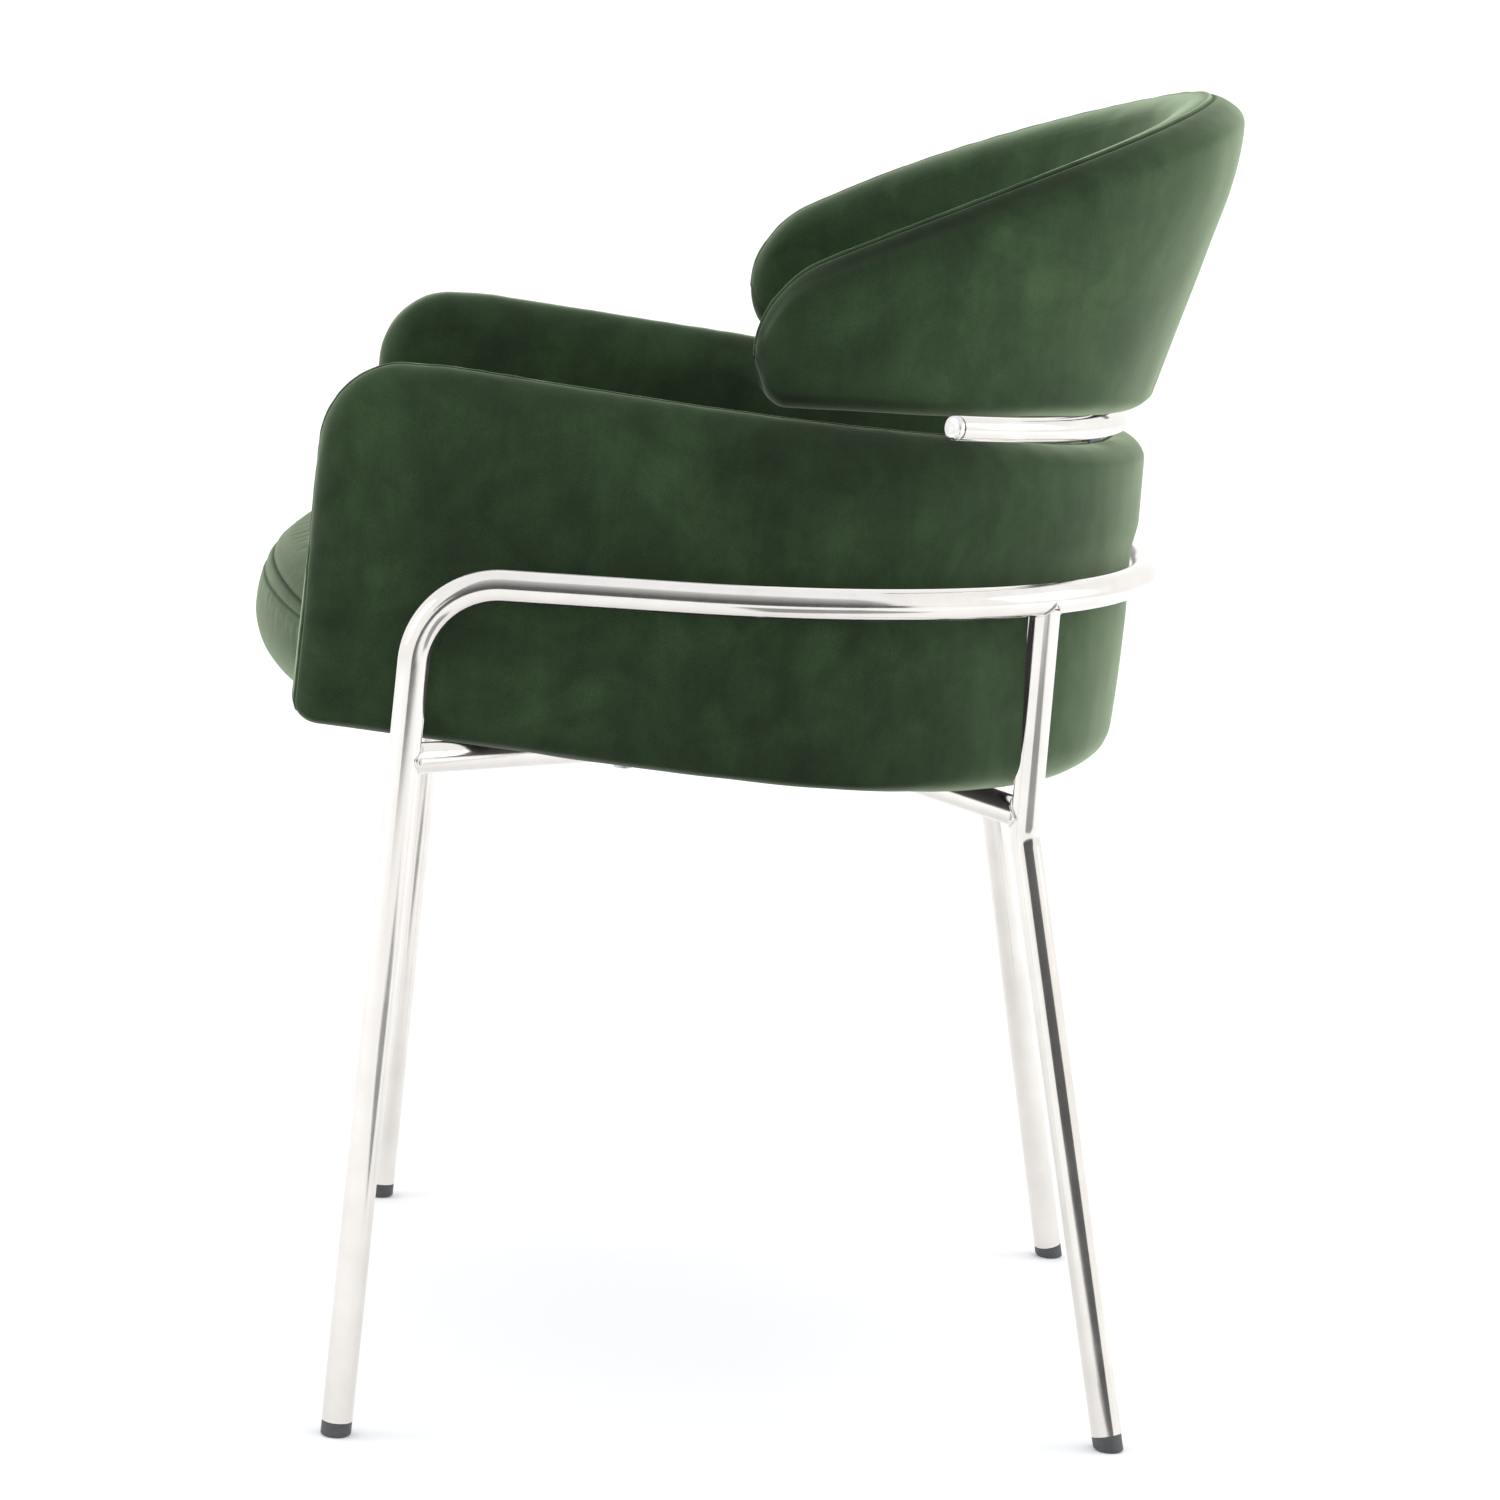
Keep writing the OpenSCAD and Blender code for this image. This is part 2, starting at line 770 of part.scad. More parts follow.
module tub_cover_outer() {
    color(velvet) difference() {
        loft([for (w = tub_stations) tub_ring(w, 1, 0, skin_inset, 5)]);
        post_slots();
    }
}

module tub_cover_inner() {
    color(velvet) difference() {
        loft([for (w = reversed(tub_stations)) tub_ring(w, -1, 0, skin_inset, 5)]);
        post_slots();
    }
}

// ---- upper back --------------------------------------------------------------------------

back_c_y = 14;
back_ref_z = 700;
back_end = 92.8;
tip_round = 20;
tip_corner_z = 31;

// The rear leans back and stands up again towards the crest; the wings stay upright
function back_shift(z) = tan(back_lean) * (z - back_ref_z) - 0.0028 * pow(max(0, z - 725), 2);
function back_point(a, n, z) =
    let (r = back_r + n + back_shift(z) * cos(a))
    [r * sin(a), back_c_y + r * cos(a), z];
function tip_distance(a) = (back_end - abs(a)) * PI / 180 * back_r;
function tip_drop(a) =
    let (d = min(1, tip_distance(a) / tip_round))
    tip_corner_z * (1 - sqrt(1 - (1 - d) * (1 - d)));
function back_top(a) = back_crest_z - 96 * (1 - cos(a)) - 15 * pow(1 - cos(a), 2)
    - 1.5 * pow(sin(2 * a), 2) - tip_drop(a);
function back_low(a) = 604.6 - 6.8 * pow(cos(a), 4) + tip_drop(a);
function back_half(a) =
    let (d = min(1, tip_distance(a) / tip_round))
    back_t / 2 * sqrt(1 - (1 - d) * (1 - d));

back_stations = concat(
    [for (q = [12:13:77]) -back_end + tip_round * (1 - cos(q)) / back_r * 180 / PI],
    [for (a = [-88:8:88]) a],
    [for (q = [77:-13:12]) back_end - tip_round * (1 - cos(q)) / back_r * 180 / PI]
);

back_core_out = 5.5;
back_low_round = 20;
back_top_round = 16;
back_ply = 10;

// A ring of the layer from outer_inset to inner_inset, or to the core's face when one is given
function back_ring(a, side, outer_inset, inner_inset, steps, face) =
    let (
        low = back_low(a),
        high = back_top(a),
        half = back_half(a),
        outer = back_half_ring(low, high, half, side, outer_inset, steps),
        inner = back_half_ring(low, high, half, side, inner_inset, steps)
    )
    concat(
        [for (p = outer) back_point(a, p.x, p.y)],
        [for (p = reversed(inner))
            back_point(a, is_undef(face) ? p.x : min(abs(p.x), face), p.y)]
    );

function back_half_ring(low, high, half, side, inset, steps) =
    let (r = min(back_low_round, (high - low) / 2.2), t = min(back_top_round, (high - low) / 2.2))
    concat(
        [for (i = [0:steps])
            let (a = 90 * i / steps - 90)
            [side * max(0.2, (half - inset) * cos(a)), low + r + (r - inset) * sin(a)]],
        [for (i = [1:steps - 1])
            [side * max(0.2, half - inset), low + r + (high - low - r - t) * i / steps]],
        [for (i = [0:steps])
            let (a = 90 * i / steps)
            [side * max(0.2, (half - inset) * cos(a)), high - t + (t - inset) * sin(a)]]
    );

core_margin = 16;
core_stations = [for (i = [-14:14]) i * (back_end - 6) / 14];

module back_core() {
    outer_n = back_t / 2 - back_core_out;
    inner_n = outer_n - back_ply;
    color(plywood) difference() {
        loft([for (a = core_stations)
            let (low = back_low(a) + core_margin, high = back_top(a) - core_margin)
            concat(
                [for (i = [0:4]) back_point(a, outer_n, low + (high - low) * i / 4)],
                [for (i = [4:-1:0]) back_point(a, inner_n, low + (high - low) * i / 4)]
            )]);
        for (side = [-1, 1]) at_post(side) post_screw_axes(false) post_screw_hole();
    }
}

back_outer_face = back_t / 2 - back_core_out + gap;
back_inner_face = back_t / 2 - back_core_out - back_ply - gap;

module back_foam_outer() {
    color(foam) difference() {
        loft([for (a = back_stations)
            back_ring(a, 1, cover_t, foam_edge, 5, back_outer_face)]);
        post_slots();
    }
}

module back_foam_inner() {
    color(foam) difference() {
        loft([for (a = reversed(back_stations))
            back_ring(a, -1, cover_t, foam_edge, 5, back_inner_face)]);
        for (side = [-1, 1]) at_post(side) upper_pocket();
    }
}

module upper_pocket() {
    translate([-post_w / 2 - 1, post_y, post_bend_z]) rotate([-back_lean, 0, 0])
        translate([0, -post_t - 4, -30]) cube([post_w + 2, 14, post_high_z - post_bend_z + 33]);
}

module back_cover_outer() {
    color(velvet) difference() {
        loft([for (a = back_stations) back_ring(a, 1, 0, skin_inset, 5)]);
        post_slots();
    }
}

module back_cover_inner() {
    color(velvet) difference() {
        loft([for (a = reversed(back_stations)) back_ring(a, -1, 0, skin_inset, 5)]);
        post_slots();
    }
}

hoop_tube();
rear_leg_left();
rear_leg_right();
brace_long();
brace_half_front();
brace_half_rear();
glide_front_left();
glide_front_right();
glide_rear_left();
glide_rear_right();
back_support_tube();
support_cap_left();
support_cap_right();
back_post_left();
back_post_right();
post_screws_lower();
post_screws_upper();
brace_spacers();
brace_bolts();
seat_tee_nuts();
seat_panel();
panel_screws();
dust_cover();
seat_foam();
seat_cover_top();
seat_cover_front();
tub_core();
tub_foam_outer();
tub_foam_inner();
tub_cover_outer();
tub_cover_inner();
back_core();
back_foam_outer();
back_foam_inner();
back_cover_outer();
back_cover_inner();
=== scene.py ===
import math

import bpy
import numpy as np
from mathutils import Matrix, Vector


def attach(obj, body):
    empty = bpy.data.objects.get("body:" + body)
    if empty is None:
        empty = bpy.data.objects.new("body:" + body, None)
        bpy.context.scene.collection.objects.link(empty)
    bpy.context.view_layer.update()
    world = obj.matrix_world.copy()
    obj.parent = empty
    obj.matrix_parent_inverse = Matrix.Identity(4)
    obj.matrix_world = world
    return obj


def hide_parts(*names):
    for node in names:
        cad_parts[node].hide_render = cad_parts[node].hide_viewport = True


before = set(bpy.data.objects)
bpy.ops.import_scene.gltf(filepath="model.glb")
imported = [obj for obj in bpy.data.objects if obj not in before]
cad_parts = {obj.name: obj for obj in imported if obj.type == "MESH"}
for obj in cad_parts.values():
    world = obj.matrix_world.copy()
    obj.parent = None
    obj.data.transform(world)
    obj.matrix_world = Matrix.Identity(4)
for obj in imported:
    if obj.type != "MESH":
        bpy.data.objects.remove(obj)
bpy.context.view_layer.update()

MM = 0.001
CLOTH_FRAMES = 20
PAINTED_LIGHT_MOST = 2.0                   # the most that the painted light can lighten the velvet
EDGE_ANGLE = math.radians(32)    # sharper edges than this stay sharp on the metal
rad = math.radians

# ---- the chair's own dimensions, in millimetres, as in the CAD model ---------------------------

TUBE_R = 9.0
HOOP_Z = 498.7
HOOP_R = 280.0
ARC_Y = -28.5                    # centre of the hoop's and the tub's rear arc
FRONT_FOOT = np.array([268.7, -202.0, 0.0])
FRONT_RISE = np.array([math.tan(rad(0.9)), math.tan(rad(2.5)), 1.0])
FRONT_BEND = 48.0
REAR_FOOT = np.array([213.5, 249.9, 0.0])
REAR_KNEE = np.array([162.0, 177.2, 355.0])
REAR_BEND = 40.0
WELD_ANGLE = rad(43.0)
BRACE_FRONT_Z = 397.0
BRACE_REAR_Z = 367.0
GLIDE_TOP = 9.0                  # where the tubes end above the plastic glides

SUPPORT_TUBE_R = 7.0
SUPPORT_R = 285.0
SUPPORT_SPAN = rad(52.6)
SUPPORT_Y = 230.2
SUPPORT_Z = 590.0
SUPPORT_TILT = rad(3.5)
SUPPORT_SKEW = 0.012             # the tube is turned a little on the frame, as a slope, and lifted
SUPPORT_LIFT = 1.0

TUB_R = 270.5
TUB_HALF = 23.0                  # half of the wall's thickness
WALL_R = TUB_R - TUB_HALF
ARM_FRONT = 241.5
ARM_CREST = 601.8
ARM_FALL = 0.088                 # how far the crest falls for each millimetre to the rear
ARM_FRONT_R = 45.0               # rounding of the arm's top front corner, and of its bottom one
ARM_TOE_R = 16.0
ARM_LEAN = 0.058                 # how far the arm's front edge leans back, for each millimetre down
TUB_BOTTOM = 392.0
TUB_BOTTOM_FALL = 0.075
TUB_END_ROUND = 20.0             # length of the rounded ends of the wall

BACK_R = 239.0
BACK_HALF = 22.0
BACK_Y = 14.0
BACK_CREST = 787.5
BACK_LEAN = rad(16.3)
BACK_END = rad(92.8)             # the wing's tip, round from the rear
BACK_LOW = 604.6
WING_FALL = 96.0                 # how far the crest falls from the rear to the wing
CROWN_LENGTH = 34.0              # length and height of the wing tip's top rounding
CROWN_HEIGHT = 33.0
TIP_LENGTH = 20.0                # and of the bottom one
TIP_HEIGHT = 31.0
SKEW = 0.021                     # the covers are turned a little on the frame, as a slope

NOSE_Y = 288.2
NOSE_Z = 445.0                   # height of the foremost line of the cushion's nose
NOSE_UP = 57.5                   # the nose's height over that line, and under it
NOSE_DOWN = 45.0
NOSE_DEPTH = 58.0
NOSE_START = rad(-62)            # where the lower edge begins, round from the foremost line
SEAT_EDGE_Z = 428.0
SEAT_TOP = 509.0
SEAT_FRONT_R = 600.0
SEAT_MIDDLE = np.array([0.0, -20.0])
SEAM_Z = 472.0                   # the nose's seam and topstitching at the level of the arms
TOPSTITCH_Z = 462.5
STITCH_LENGTH = 4.2

FRONT_KNEE = FRONT_FOOT + HOOP_Z * FRONT_RISE
reach = math.hypot(FRONT_KNEE[0], FRONT_KNEE[1] - ARC_Y)
TOE_IN = -(math.atan2(FRONT_KNEE[1] - ARC_Y, FRONT_KNEE[0]) + math.acos(HOOP_R / reach))
HOOP_TANGENT = np.array([HOOP_R * math.cos(TOE_IN), ARC_Y - HOOP_R * math.sin(TOE_IN), HOOP_Z])
REAR_TOP = np.array([HOOP_R * math.sin(WELD_ANGLE), ARC_Y + HOOP_R * math.cos(WELD_ANGLE), HOOP_Z])


# ---- small helpers -------------------------------------------------------------------------------

def smooth(x):
    x = np.clip(x, 0.0, 1.0)
    return x * x * (3 - 2 * x)


def bump(x, centre, width):
    return np.exp(-((x - centre) / width) ** 2)


def wave_noise(p, scale, seed, octaves=3):
    """Smooth, repeatable noise of about -1 to 1 at the points p, from sine waves in seeded directions."""
    rng = np.random.default_rng(seed)
    total = np.zeros(p.shape[:-1])
    amplitude, weight = 1.0, 0.0
    for _ in range(octaves):
        part = np.zeros_like(total)
        for _ in range(6):
            d = rng.normal(size=3)
            d /= np.linalg.norm(d)
            part += np.sin(p @ d * (2 * math.pi / scale) * rng.uniform(0.7, 1.4) + rng.uniform(0, 6.283))
        total += amplitude * part / 3.0
        weight += amplitude
        amplitude *= 0.5
        scale *= 0.5
    return total / weight


def make_object(name, points, faces, material, painted_light=None):
    """A mesh object from points in millimetres, with the painted light and shade at each point as a colour
    attribute: 1 is plain.
    """
    mesh = bpy.data.meshes.new(name)
    mesh.from_pydata((np.asarray(points) * MM).tolist(), [], [list(map(int, f)) for f in faces])
    mesh.validate()
    if painted_light is not None:
        colour = mesh.attributes.new("painted_light", "FLOAT_COLOR", "POINT")
        values = np.ones((len(mesh.vertices), 4), np.float32)
        values[:, :3] = np.clip(painted_light, 0, PAINTED_LIGHT_MOST)[:, None] / PAINTED_LIGHT_MOST
        colour.data.foreach_set("color", values.reshape(-1))
    mesh.shade_smooth()
    obj = bpy.data.objects.new(name, mesh)
    bpy.context.scene.collection.objects.link(obj)
    mesh.materials.append(material)
    return obj


def unit(v):
    return v / np.linalg.norm(v)


def grid_faces(rows, cols, wrap_rows=False, wrap_cols=False):
    """Quads of a rows x cols grid of points, joined round where it wraps."""
    r = np.arange(rows if wrap_rows else rows - 1)
    c = np.arange(cols if wrap_cols else cols - 1)
    i, j = np.meshgrid(r, c, indexing="ij")
    i2, j2 = (i + 1) % rows, (j + 1) % cols
    return np.stack([i * cols + j, i2 * cols + j, i2 * cols + j2, i * cols + j2], -1).reshape(-1, 4)


def grid_normals(p):
    """Unit normals of a grid of points p[row, col], by central differences."""
    n = np.cross(np.gradient(p, axis=0), np.gradient(p, axis=1))
    return n / np.maximum(np.linalg.norm(n, axis=-1, keepdims=True), 1e-9)


def resample(values, old, new):
    """Smoothly interpolates values, given at the rising positions old along axis 0, at the positions new."""
    k = np.clip(np.searchsorted(old, new, side="right") - 1, 0, len(old) - 2)
    h = old[k + 1] - old[k]
    t = ((new - old[k]) / h).reshape(-1, *([1] * (values.ndim - 1)))
    h = h.reshape(t.shape)
    slope = np.gradient(values, old, axis=0)
    a, b, ma, mb = values[k], values[k + 1], slope[k] * h, slope[k + 1] * h
    return ((2 * t**3 - 3 * t**2 + 1) * a + (t**3 - 2 * t**2 + t) * ma
            + (-2 * t**3 + 3 * t**2) * b + (t**3 - t**2) * mb)


# ---- materials -----------------------------------------------------------------------------------

def new_material(name):
    mat = bpy.data.materials.new(name)
    mat.use_nodes = True
    nodes, links = mat.node_tree.nodes, mat.node_tree.links
    nodes.clear()
    out = nodes.new("ShaderNodeOutputMaterial")
    bsdf = nodes.new("ShaderNodeBsdfPrincipled")
    links.new(bsdf.outputs["BSDF"], out.inputs["Surface"])
    coord = nodes.new("ShaderNodeTexCoord").outputs["Object"]
    return mat, nodes, links, bsdf, coord


def noise(nodes, links, vector, scale, detail=4.0, rough=0.55, distortion=0.0):
    n = nodes.new("ShaderNodeTexNoise")
    n.inputs["Scale"].default_value = scale
    n.inputs["Detail"].default_value = detail
    n.inputs["Roughness"].default_value = rough
    n.inputs["Distortion"].default_value = distortion
    links.new(vector, n.inputs["Vector"])
    return n.outputs["Fac"]


def ramp(nodes, links, fac, stops):
    r = nodes.new("ShaderNodeValToRGB")
    elements = r.color_ramp.elements
    while len(elements) < len(stops):
        elements.new(0.5)
    for e, (pos, colour) in zip(elements, stops):
        e.position = pos
        e.color = (*colour, 1.0)
    links.new(fac, r.inputs["Fac"])
    return r.outputs["Color"]


def scaled(nodes, links, vector, scale):
    m = nodes.new("ShaderNodeMapping")
    m.inputs["Scale"].default_value = scale
    links.new(vector, m.inputs["Vector"])
    return m.outputs["Vector"]


def mixed(nodes, links, fac, a, b, mode="MIX"):
    m = nodes.new("ShaderNodeMix")
    m.data_type = "RGBA"
    m.blend_type = mode
    for socket, value in (("Factor", fac), ("A", a), ("B", b)):
        target = [s for s in m.inputs if s.name == socket and s.enabled][0]
        if isinstance(value, (float, int)):
            target.default_value = value
        elif isinstance(value, tuple):
            target.default_value = (*value, 1.0)
        else:
            links.new(value, target)
    return [s for s in m.outputs if s.enabled][0]


def bumped(nodes, links, bsdf, layers):
    """Chains bump nodes: layers are (height, strength, distance)."""
    normal = None
    for height, strength, distance in layers:
        b = nodes.new("ShaderNodeBump")
        b.inputs["Strength"].default_value = strength
        b.inputs["Distance"].default_value = distance
        links.new(height, b.inputs["Height"])
        if normal:
            links.new(normal, b.inputs["Normal"])
        normal = b.outputs["Normal"]
    links.new(normal, bsdf.inputs["Normal"])


def velvet():
    """Dark green velvet: brushed patches in the pile, a soft pile and a pale sheen at grazing angles. The
    sheen is also painted into the base colour, and a mesh attribute paints light and shade into the colour
    and the sheen.
    """
    mat, nodes, links, bsdf, coord = new_material("velvet")
    patches = noise(nodes, links, scaled(nodes, links, coord, (1.0, 1.0, 1.5)), 7.0, 5.0, 0.6, 0.6)
    streaks = noise(nodes, links, scaled(nodes, links, coord, (1.0, 1.0, 0.35)), 42.0, 4.0, 0.6, 0.3)
    pile = noise(nodes, links, coord, 1500.0, 2.0, 0.6)
    base = ramp(nodes, links, patches, [(0.30, (0.026, 0.048, 0.022)), (0.52, (0.038, 0.070, 0.032)),
                                        (0.72, (0.058, 0.104, 0.046))])
    tone = ramp(nodes, links, streaks, [(0.30, (0.82, 0.82, 0.82)), (0.70, (1.12, 1.14, 1.08))])
    grain = ramp(nodes, links, pile, [(0.30, (0.78, 0.78, 0.78)), (0.70, (1.18, 1.18, 1.18))])
    mottle = ramp(nodes, links, noise(nodes, links, coord, 30.0, 3.0, 0.5, 0.8),
                  [(0.32, (0.84, 0.85, 0.84)), (0.68, (1.18, 1.17, 1.16))])
    colour = mixed(nodes, links, 1.0, mixed(nodes, links, 1.0, base, tone, "MULTIPLY"), grain, "MULTIPLY")
    colour = mixed(nodes, links, 1.0, colour, mottle, "MULTIPLY")
    painted_light_attr = nodes.new("ShaderNodeAttribute")
    painted_light_attr.attribute_name = "painted_light"
    # Painted sheen: towards grazing angles the base colour turns a light sage green
    facing = nodes.new("ShaderNodeLayerWeight")
    facing.inputs["Blend"].default_value = 0.32
    rim = ramp(nodes, links, facing.outputs["Facing"], [(0.42, (0.0, 0.0, 0.0)), (1.0, (1.0, 1.0, 1.0))])
    pale = mixed(nodes, links, rim, colour, (0.13, 0.165, 0.10))
    # The mesh's painted light and shade multiply the base colour
    links.new(mixed(nodes, links, 1.0, pale, painted_light_attr.outputs["Color"], "MULTIPLY"), bsdf.inputs["Base Color"])
    bsdf.inputs["Roughness"].default_value = 0.95
    bsdf.inputs["Specular IOR Level"].default_value = 0.12
    # Painted sheen: the sheen's weight follows the mesh's painted light and shade
    lift = nodes.new("ShaderNodeMath")
    lift.operation = "MULTIPLY"
    lift.use_clamp = True
    links.new(painted_light_attr.outputs["Fac"], lift.inputs[0])
    lift.inputs[1].default_value = 1.05
    links.new(lift.outputs["Value"], bsdf.inputs["Sheen Weight"])
    bsdf.inputs["Sheen Roughness"].default_value = 0.38
    bsdf.inputs["Sheen Tint"].default_value = (0.64, 0.78, 0.54, 1.0)
    bumped(nodes, links, bsdf, [(patches, 0.12, 0.004), (streaks, 0.10, 0.0012), (pile, 0.25, 0.0004)])
    return mat


def chrome():
    mat, nodes, links, bsdf, coord = new_material("polished_chrome")
    smudge = noise(nodes, links, coord, 30.0, 5.0, 0.6)
    scratch = noise(nodes, links, scaled(nodes, links, coord, (1.0, 1.0, 0.05)), 900.0, 2.0, 0.7)
    tone = ramp(nodes, links, smudge, [(0.3, (0.73, 0.70, 0.655)), (0.7, (0.81, 0.78, 0.735))])
    rough = ramp(nodes, links, smudge, [(0.3, (0.10, 0.10, 0.10)), (0.7, (0.17, 0.17, 0.17))])
    links.new(tone, bsdf.inputs["Base Color"])
    links.new(rough, bsdf.inputs["Roughness"])
    bsdf.inputs["Metallic"].default_value = 1.0
    bumped(nodes, links, bsdf, [(scratch, 0.02, 0.0002)])
    return mat


def weld():
    mat, nodes, links, bsdf, coord = new_material("dressed_weld")
    ripple = noise(nodes, links, coord, 260.0, 4.0, 0.6, 0.4)
    tone = ramp(nodes, links, ripple, [(0.3, (0.66, 0.65, 0.63)), (0.7, (0.84, 0.83, 0.81))])
    links.new(tone, bsdf.inputs["Base Color"])
    bsdf.inputs["Metallic"].default_value = 1.0
    bsdf.inputs["Roughness"].default_value = 0.22
    bumped(nodes, links, bsdf, [(ripple, 0.35, 0.0008)])
    return mat


def plain_metal():
    mat, nodes, links, bsdf, coord = new_material("zinc_plated_steel")
    spangle = noise(nodes, links, coord, 180.0, 6.0, 0.7)
    tone = ramp(nodes, links, spangle, [(0.3, (0.40, 0.41, 0.43)), (0.7, (0.58, 0.59, 0.61))])
    rough = ramp(nodes, links, spangle, [(0.3, (0.28, 0.28, 0.28)), (0.7, (0.45, 0.45, 0.45))])
    links.new(tone, bsdf.inputs["Base Color"])
    links.new(rough, bsdf.inputs["Roughness"])
    bsdf.inputs["Metallic"].default_value = 1.0
    bumped(nodes, links, bsdf, [(spangle, 0.1, 0.0003)])
    return mat


def plywood():
    mat, nodes, links, bsdf, coord = new_material("birch_plywood")
    grain = noise(nodes, links, scaled(nodes, links, coord, (1.0, 9.0, 9.0)), 22.0, 6.0, 0.65, 1.2)
    fine = noise(nodes, links, scaled(nodes, links, coord, (1.0, 30.0, 30.0)), 60.0, 3.0)
    tone = ramp(nodes, links, grain, [(0.25, (0.42, 0.28, 0.15)), (0.55, (0.58, 0.42, 0.25)),
                                      (0.8, (0.68, 0.52, 0.33))])
    links.new(tone, bsdf.inputs["Base Color"])
    bsdf.inputs["Roughness"].default_value = 0.62
    bumped(nodes, links, bsdf, [(grain, 0.12, 0.0006), (fine, 0.15, 0.0003)])
    return mat


def dark_plastic():
    mat, nodes, links, bsdf, coord = new_material("dark_plastic")
    texture = noise(nodes, links, coord, 900.0, 3.0)
    wear = noise(nodes, links, coord, 60.0, 5.0, 0.7)
    tone = ramp(nodes, links, wear, [(0.35, (0.045, 0.046, 0.050)), (0.75, (0.085, 0.086, 0.090))])
    rough = ramp(nodes, links, wear, [(0.3, (0.42, 0.42, 0.42)), (0.7, (0.62, 0.62, 0.62))])
    links.new(tone, bsdf.inputs["Base Color"])
    links.new(rough, bsdf.inputs["Roughness"])
    bumped(nodes, links, bsdf, [(texture, 0.25, 0.0003)])
    return mat


def dust_cloth():
    mat, nodes, links, bsdf, coord = new_material("dust_cloth")
    fibres = noise(nodes, links, scaled(nodes, links, coord, (1.0, 3.0, 1.0)), 420.0, 4.0, 0.7, 1.5)
    tone = ramp(nodes, links, fibres, [(0.3, (0.008, 0.008, 0.008)), (0.7, (0.030, 0.030, 0.030))])
    links.new(tone, bsdf.inputs["Base Color"])
    bsdf.inputs["Roughness"].default_value = 0.9
    bumped(nodes, links, bsdf, [(fibres, 0.4, 0.0004)])
    return mat


VELVET, CHROME, WELD, STEEL = velvet(), chrome(), weld(), plain_metal()
PLYWOOD, PLASTIC, CLOTH = plywood(), dark_plastic(), dust_cloth()


# ---- padded shells -------------------------------------------------------------------------------

SHELL_PRESSURE = 4.0
SHELL_CAP = 3.0                  # how far the tub's and the back's covers may swell
EASING_PASSES = 6
SHELL_STEP = 4.0                 # width of the fine columns

# A padded shell is a grid: columns run along the shell and rows run round its section, from the
# middle of the lower edge up the outside (rows 0 to 3), over the crest and down the inside (3 to 6).

def section(t, low, high, half, low_round, top_round):
    """Height and distance from the middle surface of the section's points t, for every column."""
    t = t[:, None]
    u = np.where(t > 3, 6 - t, t)
    side = np.where(t > 3, -1.0, 1.0)
    corner = np.clip(u, 0, 1) * math.pi / 2
    face = np.clip(u - 1, 0, 1)
    crest = np.clip(u - 2, 0, 1) * math.pi / 2
    z = low + low_round * (1 - np.cos(corner)) + (high - low - low_round - top_round) * face \
        + top_round * np.sin(crest)
    n = half * np.where(u < 1, np.sin(corner), np.cos(crest))
    return z, side * n


TUB_ARC = WALL_R * (math.pi / 2 + TOE_IN)
TUB_END = TUB_ARC + (ARM_FRONT + ARC_Y - WALL_R * math.sin(TOE_IN)) / math.cos(TOE_IN)


def tub_place(w, n, z):
    """Where the point at w along the wall, n outside its middle surface and at height z is."""
    side, d = np.sign(w), np.abs(w)
    a = np.minimum(d, TUB_ARC) / WALL_R
    k = np.maximum(0, d - TUB_ARC)
    lean = np.clip(k / (TUB_END - TUB_ARC), 0, 1) * ARM_LEAN * (500 - z)
    x = side * ((WALL_R + n) * np.sin(a) - k * math.sin(TOE_IN))
    y = ARC_Y + (WALL_R + n) * np.cos(a) - k * math.cos(TOE_IN) - lean
    return np.stack(np.broadcast_arrays(x, y, z), -1)


def skewed(p, start, span):
    """In front of start, the right-hand side sits a few millimetres further forward."""
    p[..., 1] -= SKEW * p[..., 0] * smooth((start - p[..., 1]) / span)
    return p


def corner_drop(d, r):
    """How far a corner of radius r has fallen at the distance d from the end."""
    d = np.clip(d, 0, r)
    return r - np.sqrt(r * r - (r - d) ** 2)


def tub_shape(w, t):
    """The tub's surface at the columns w and rows t."""
    w = w[None, :]
    edge = TUB_END - np.abs(w)
    y = tub_place(w, 0.0, 500.0)[..., 1]
    rear_drop = 3.0 * smooth((y - 110) / 90)
    high = ARM_CREST - ARM_FALL * np.maximum(y, -170) - rear_drop - corner_drop(edge, ARM_FRONT_R)
    rear_lift = 0.0002 * np.maximum(0, y - 60) ** 2
    low = TUB_BOTTOM - TUB_BOTTOM_FALL * y + rear_lift + corner_drop(edge, ARM_TOE_R)
    half = TUB_HALF * np.sqrt(1 - (1 - np.minimum(1, edge / TUB_END_ROUND)) ** 2)
    low_round = 7.0 + 15.0 * smooth((y - 60) / 120)
    top_round = 25.0 - 12.0 * smooth((y - 40) / 120)
    z, n = section(t, low, high, half, low_round, top_round)
    # The outside draws in towards the lower edge and swells a little above the hoop
    draw_in = 4.5 * np.clip((470 - z) / 75, 0, 1) ** 1.2
    swell = 3.6 * smooth((z - 508) / 22) * (1 - 0.3 * smooth((z - 560) / 30))
    n = n - np.where(n > 0, np.minimum(draw_in - swell, n / 2), 0)
    return skewed(tub_place(w, n, z), 60.0, 160.0)


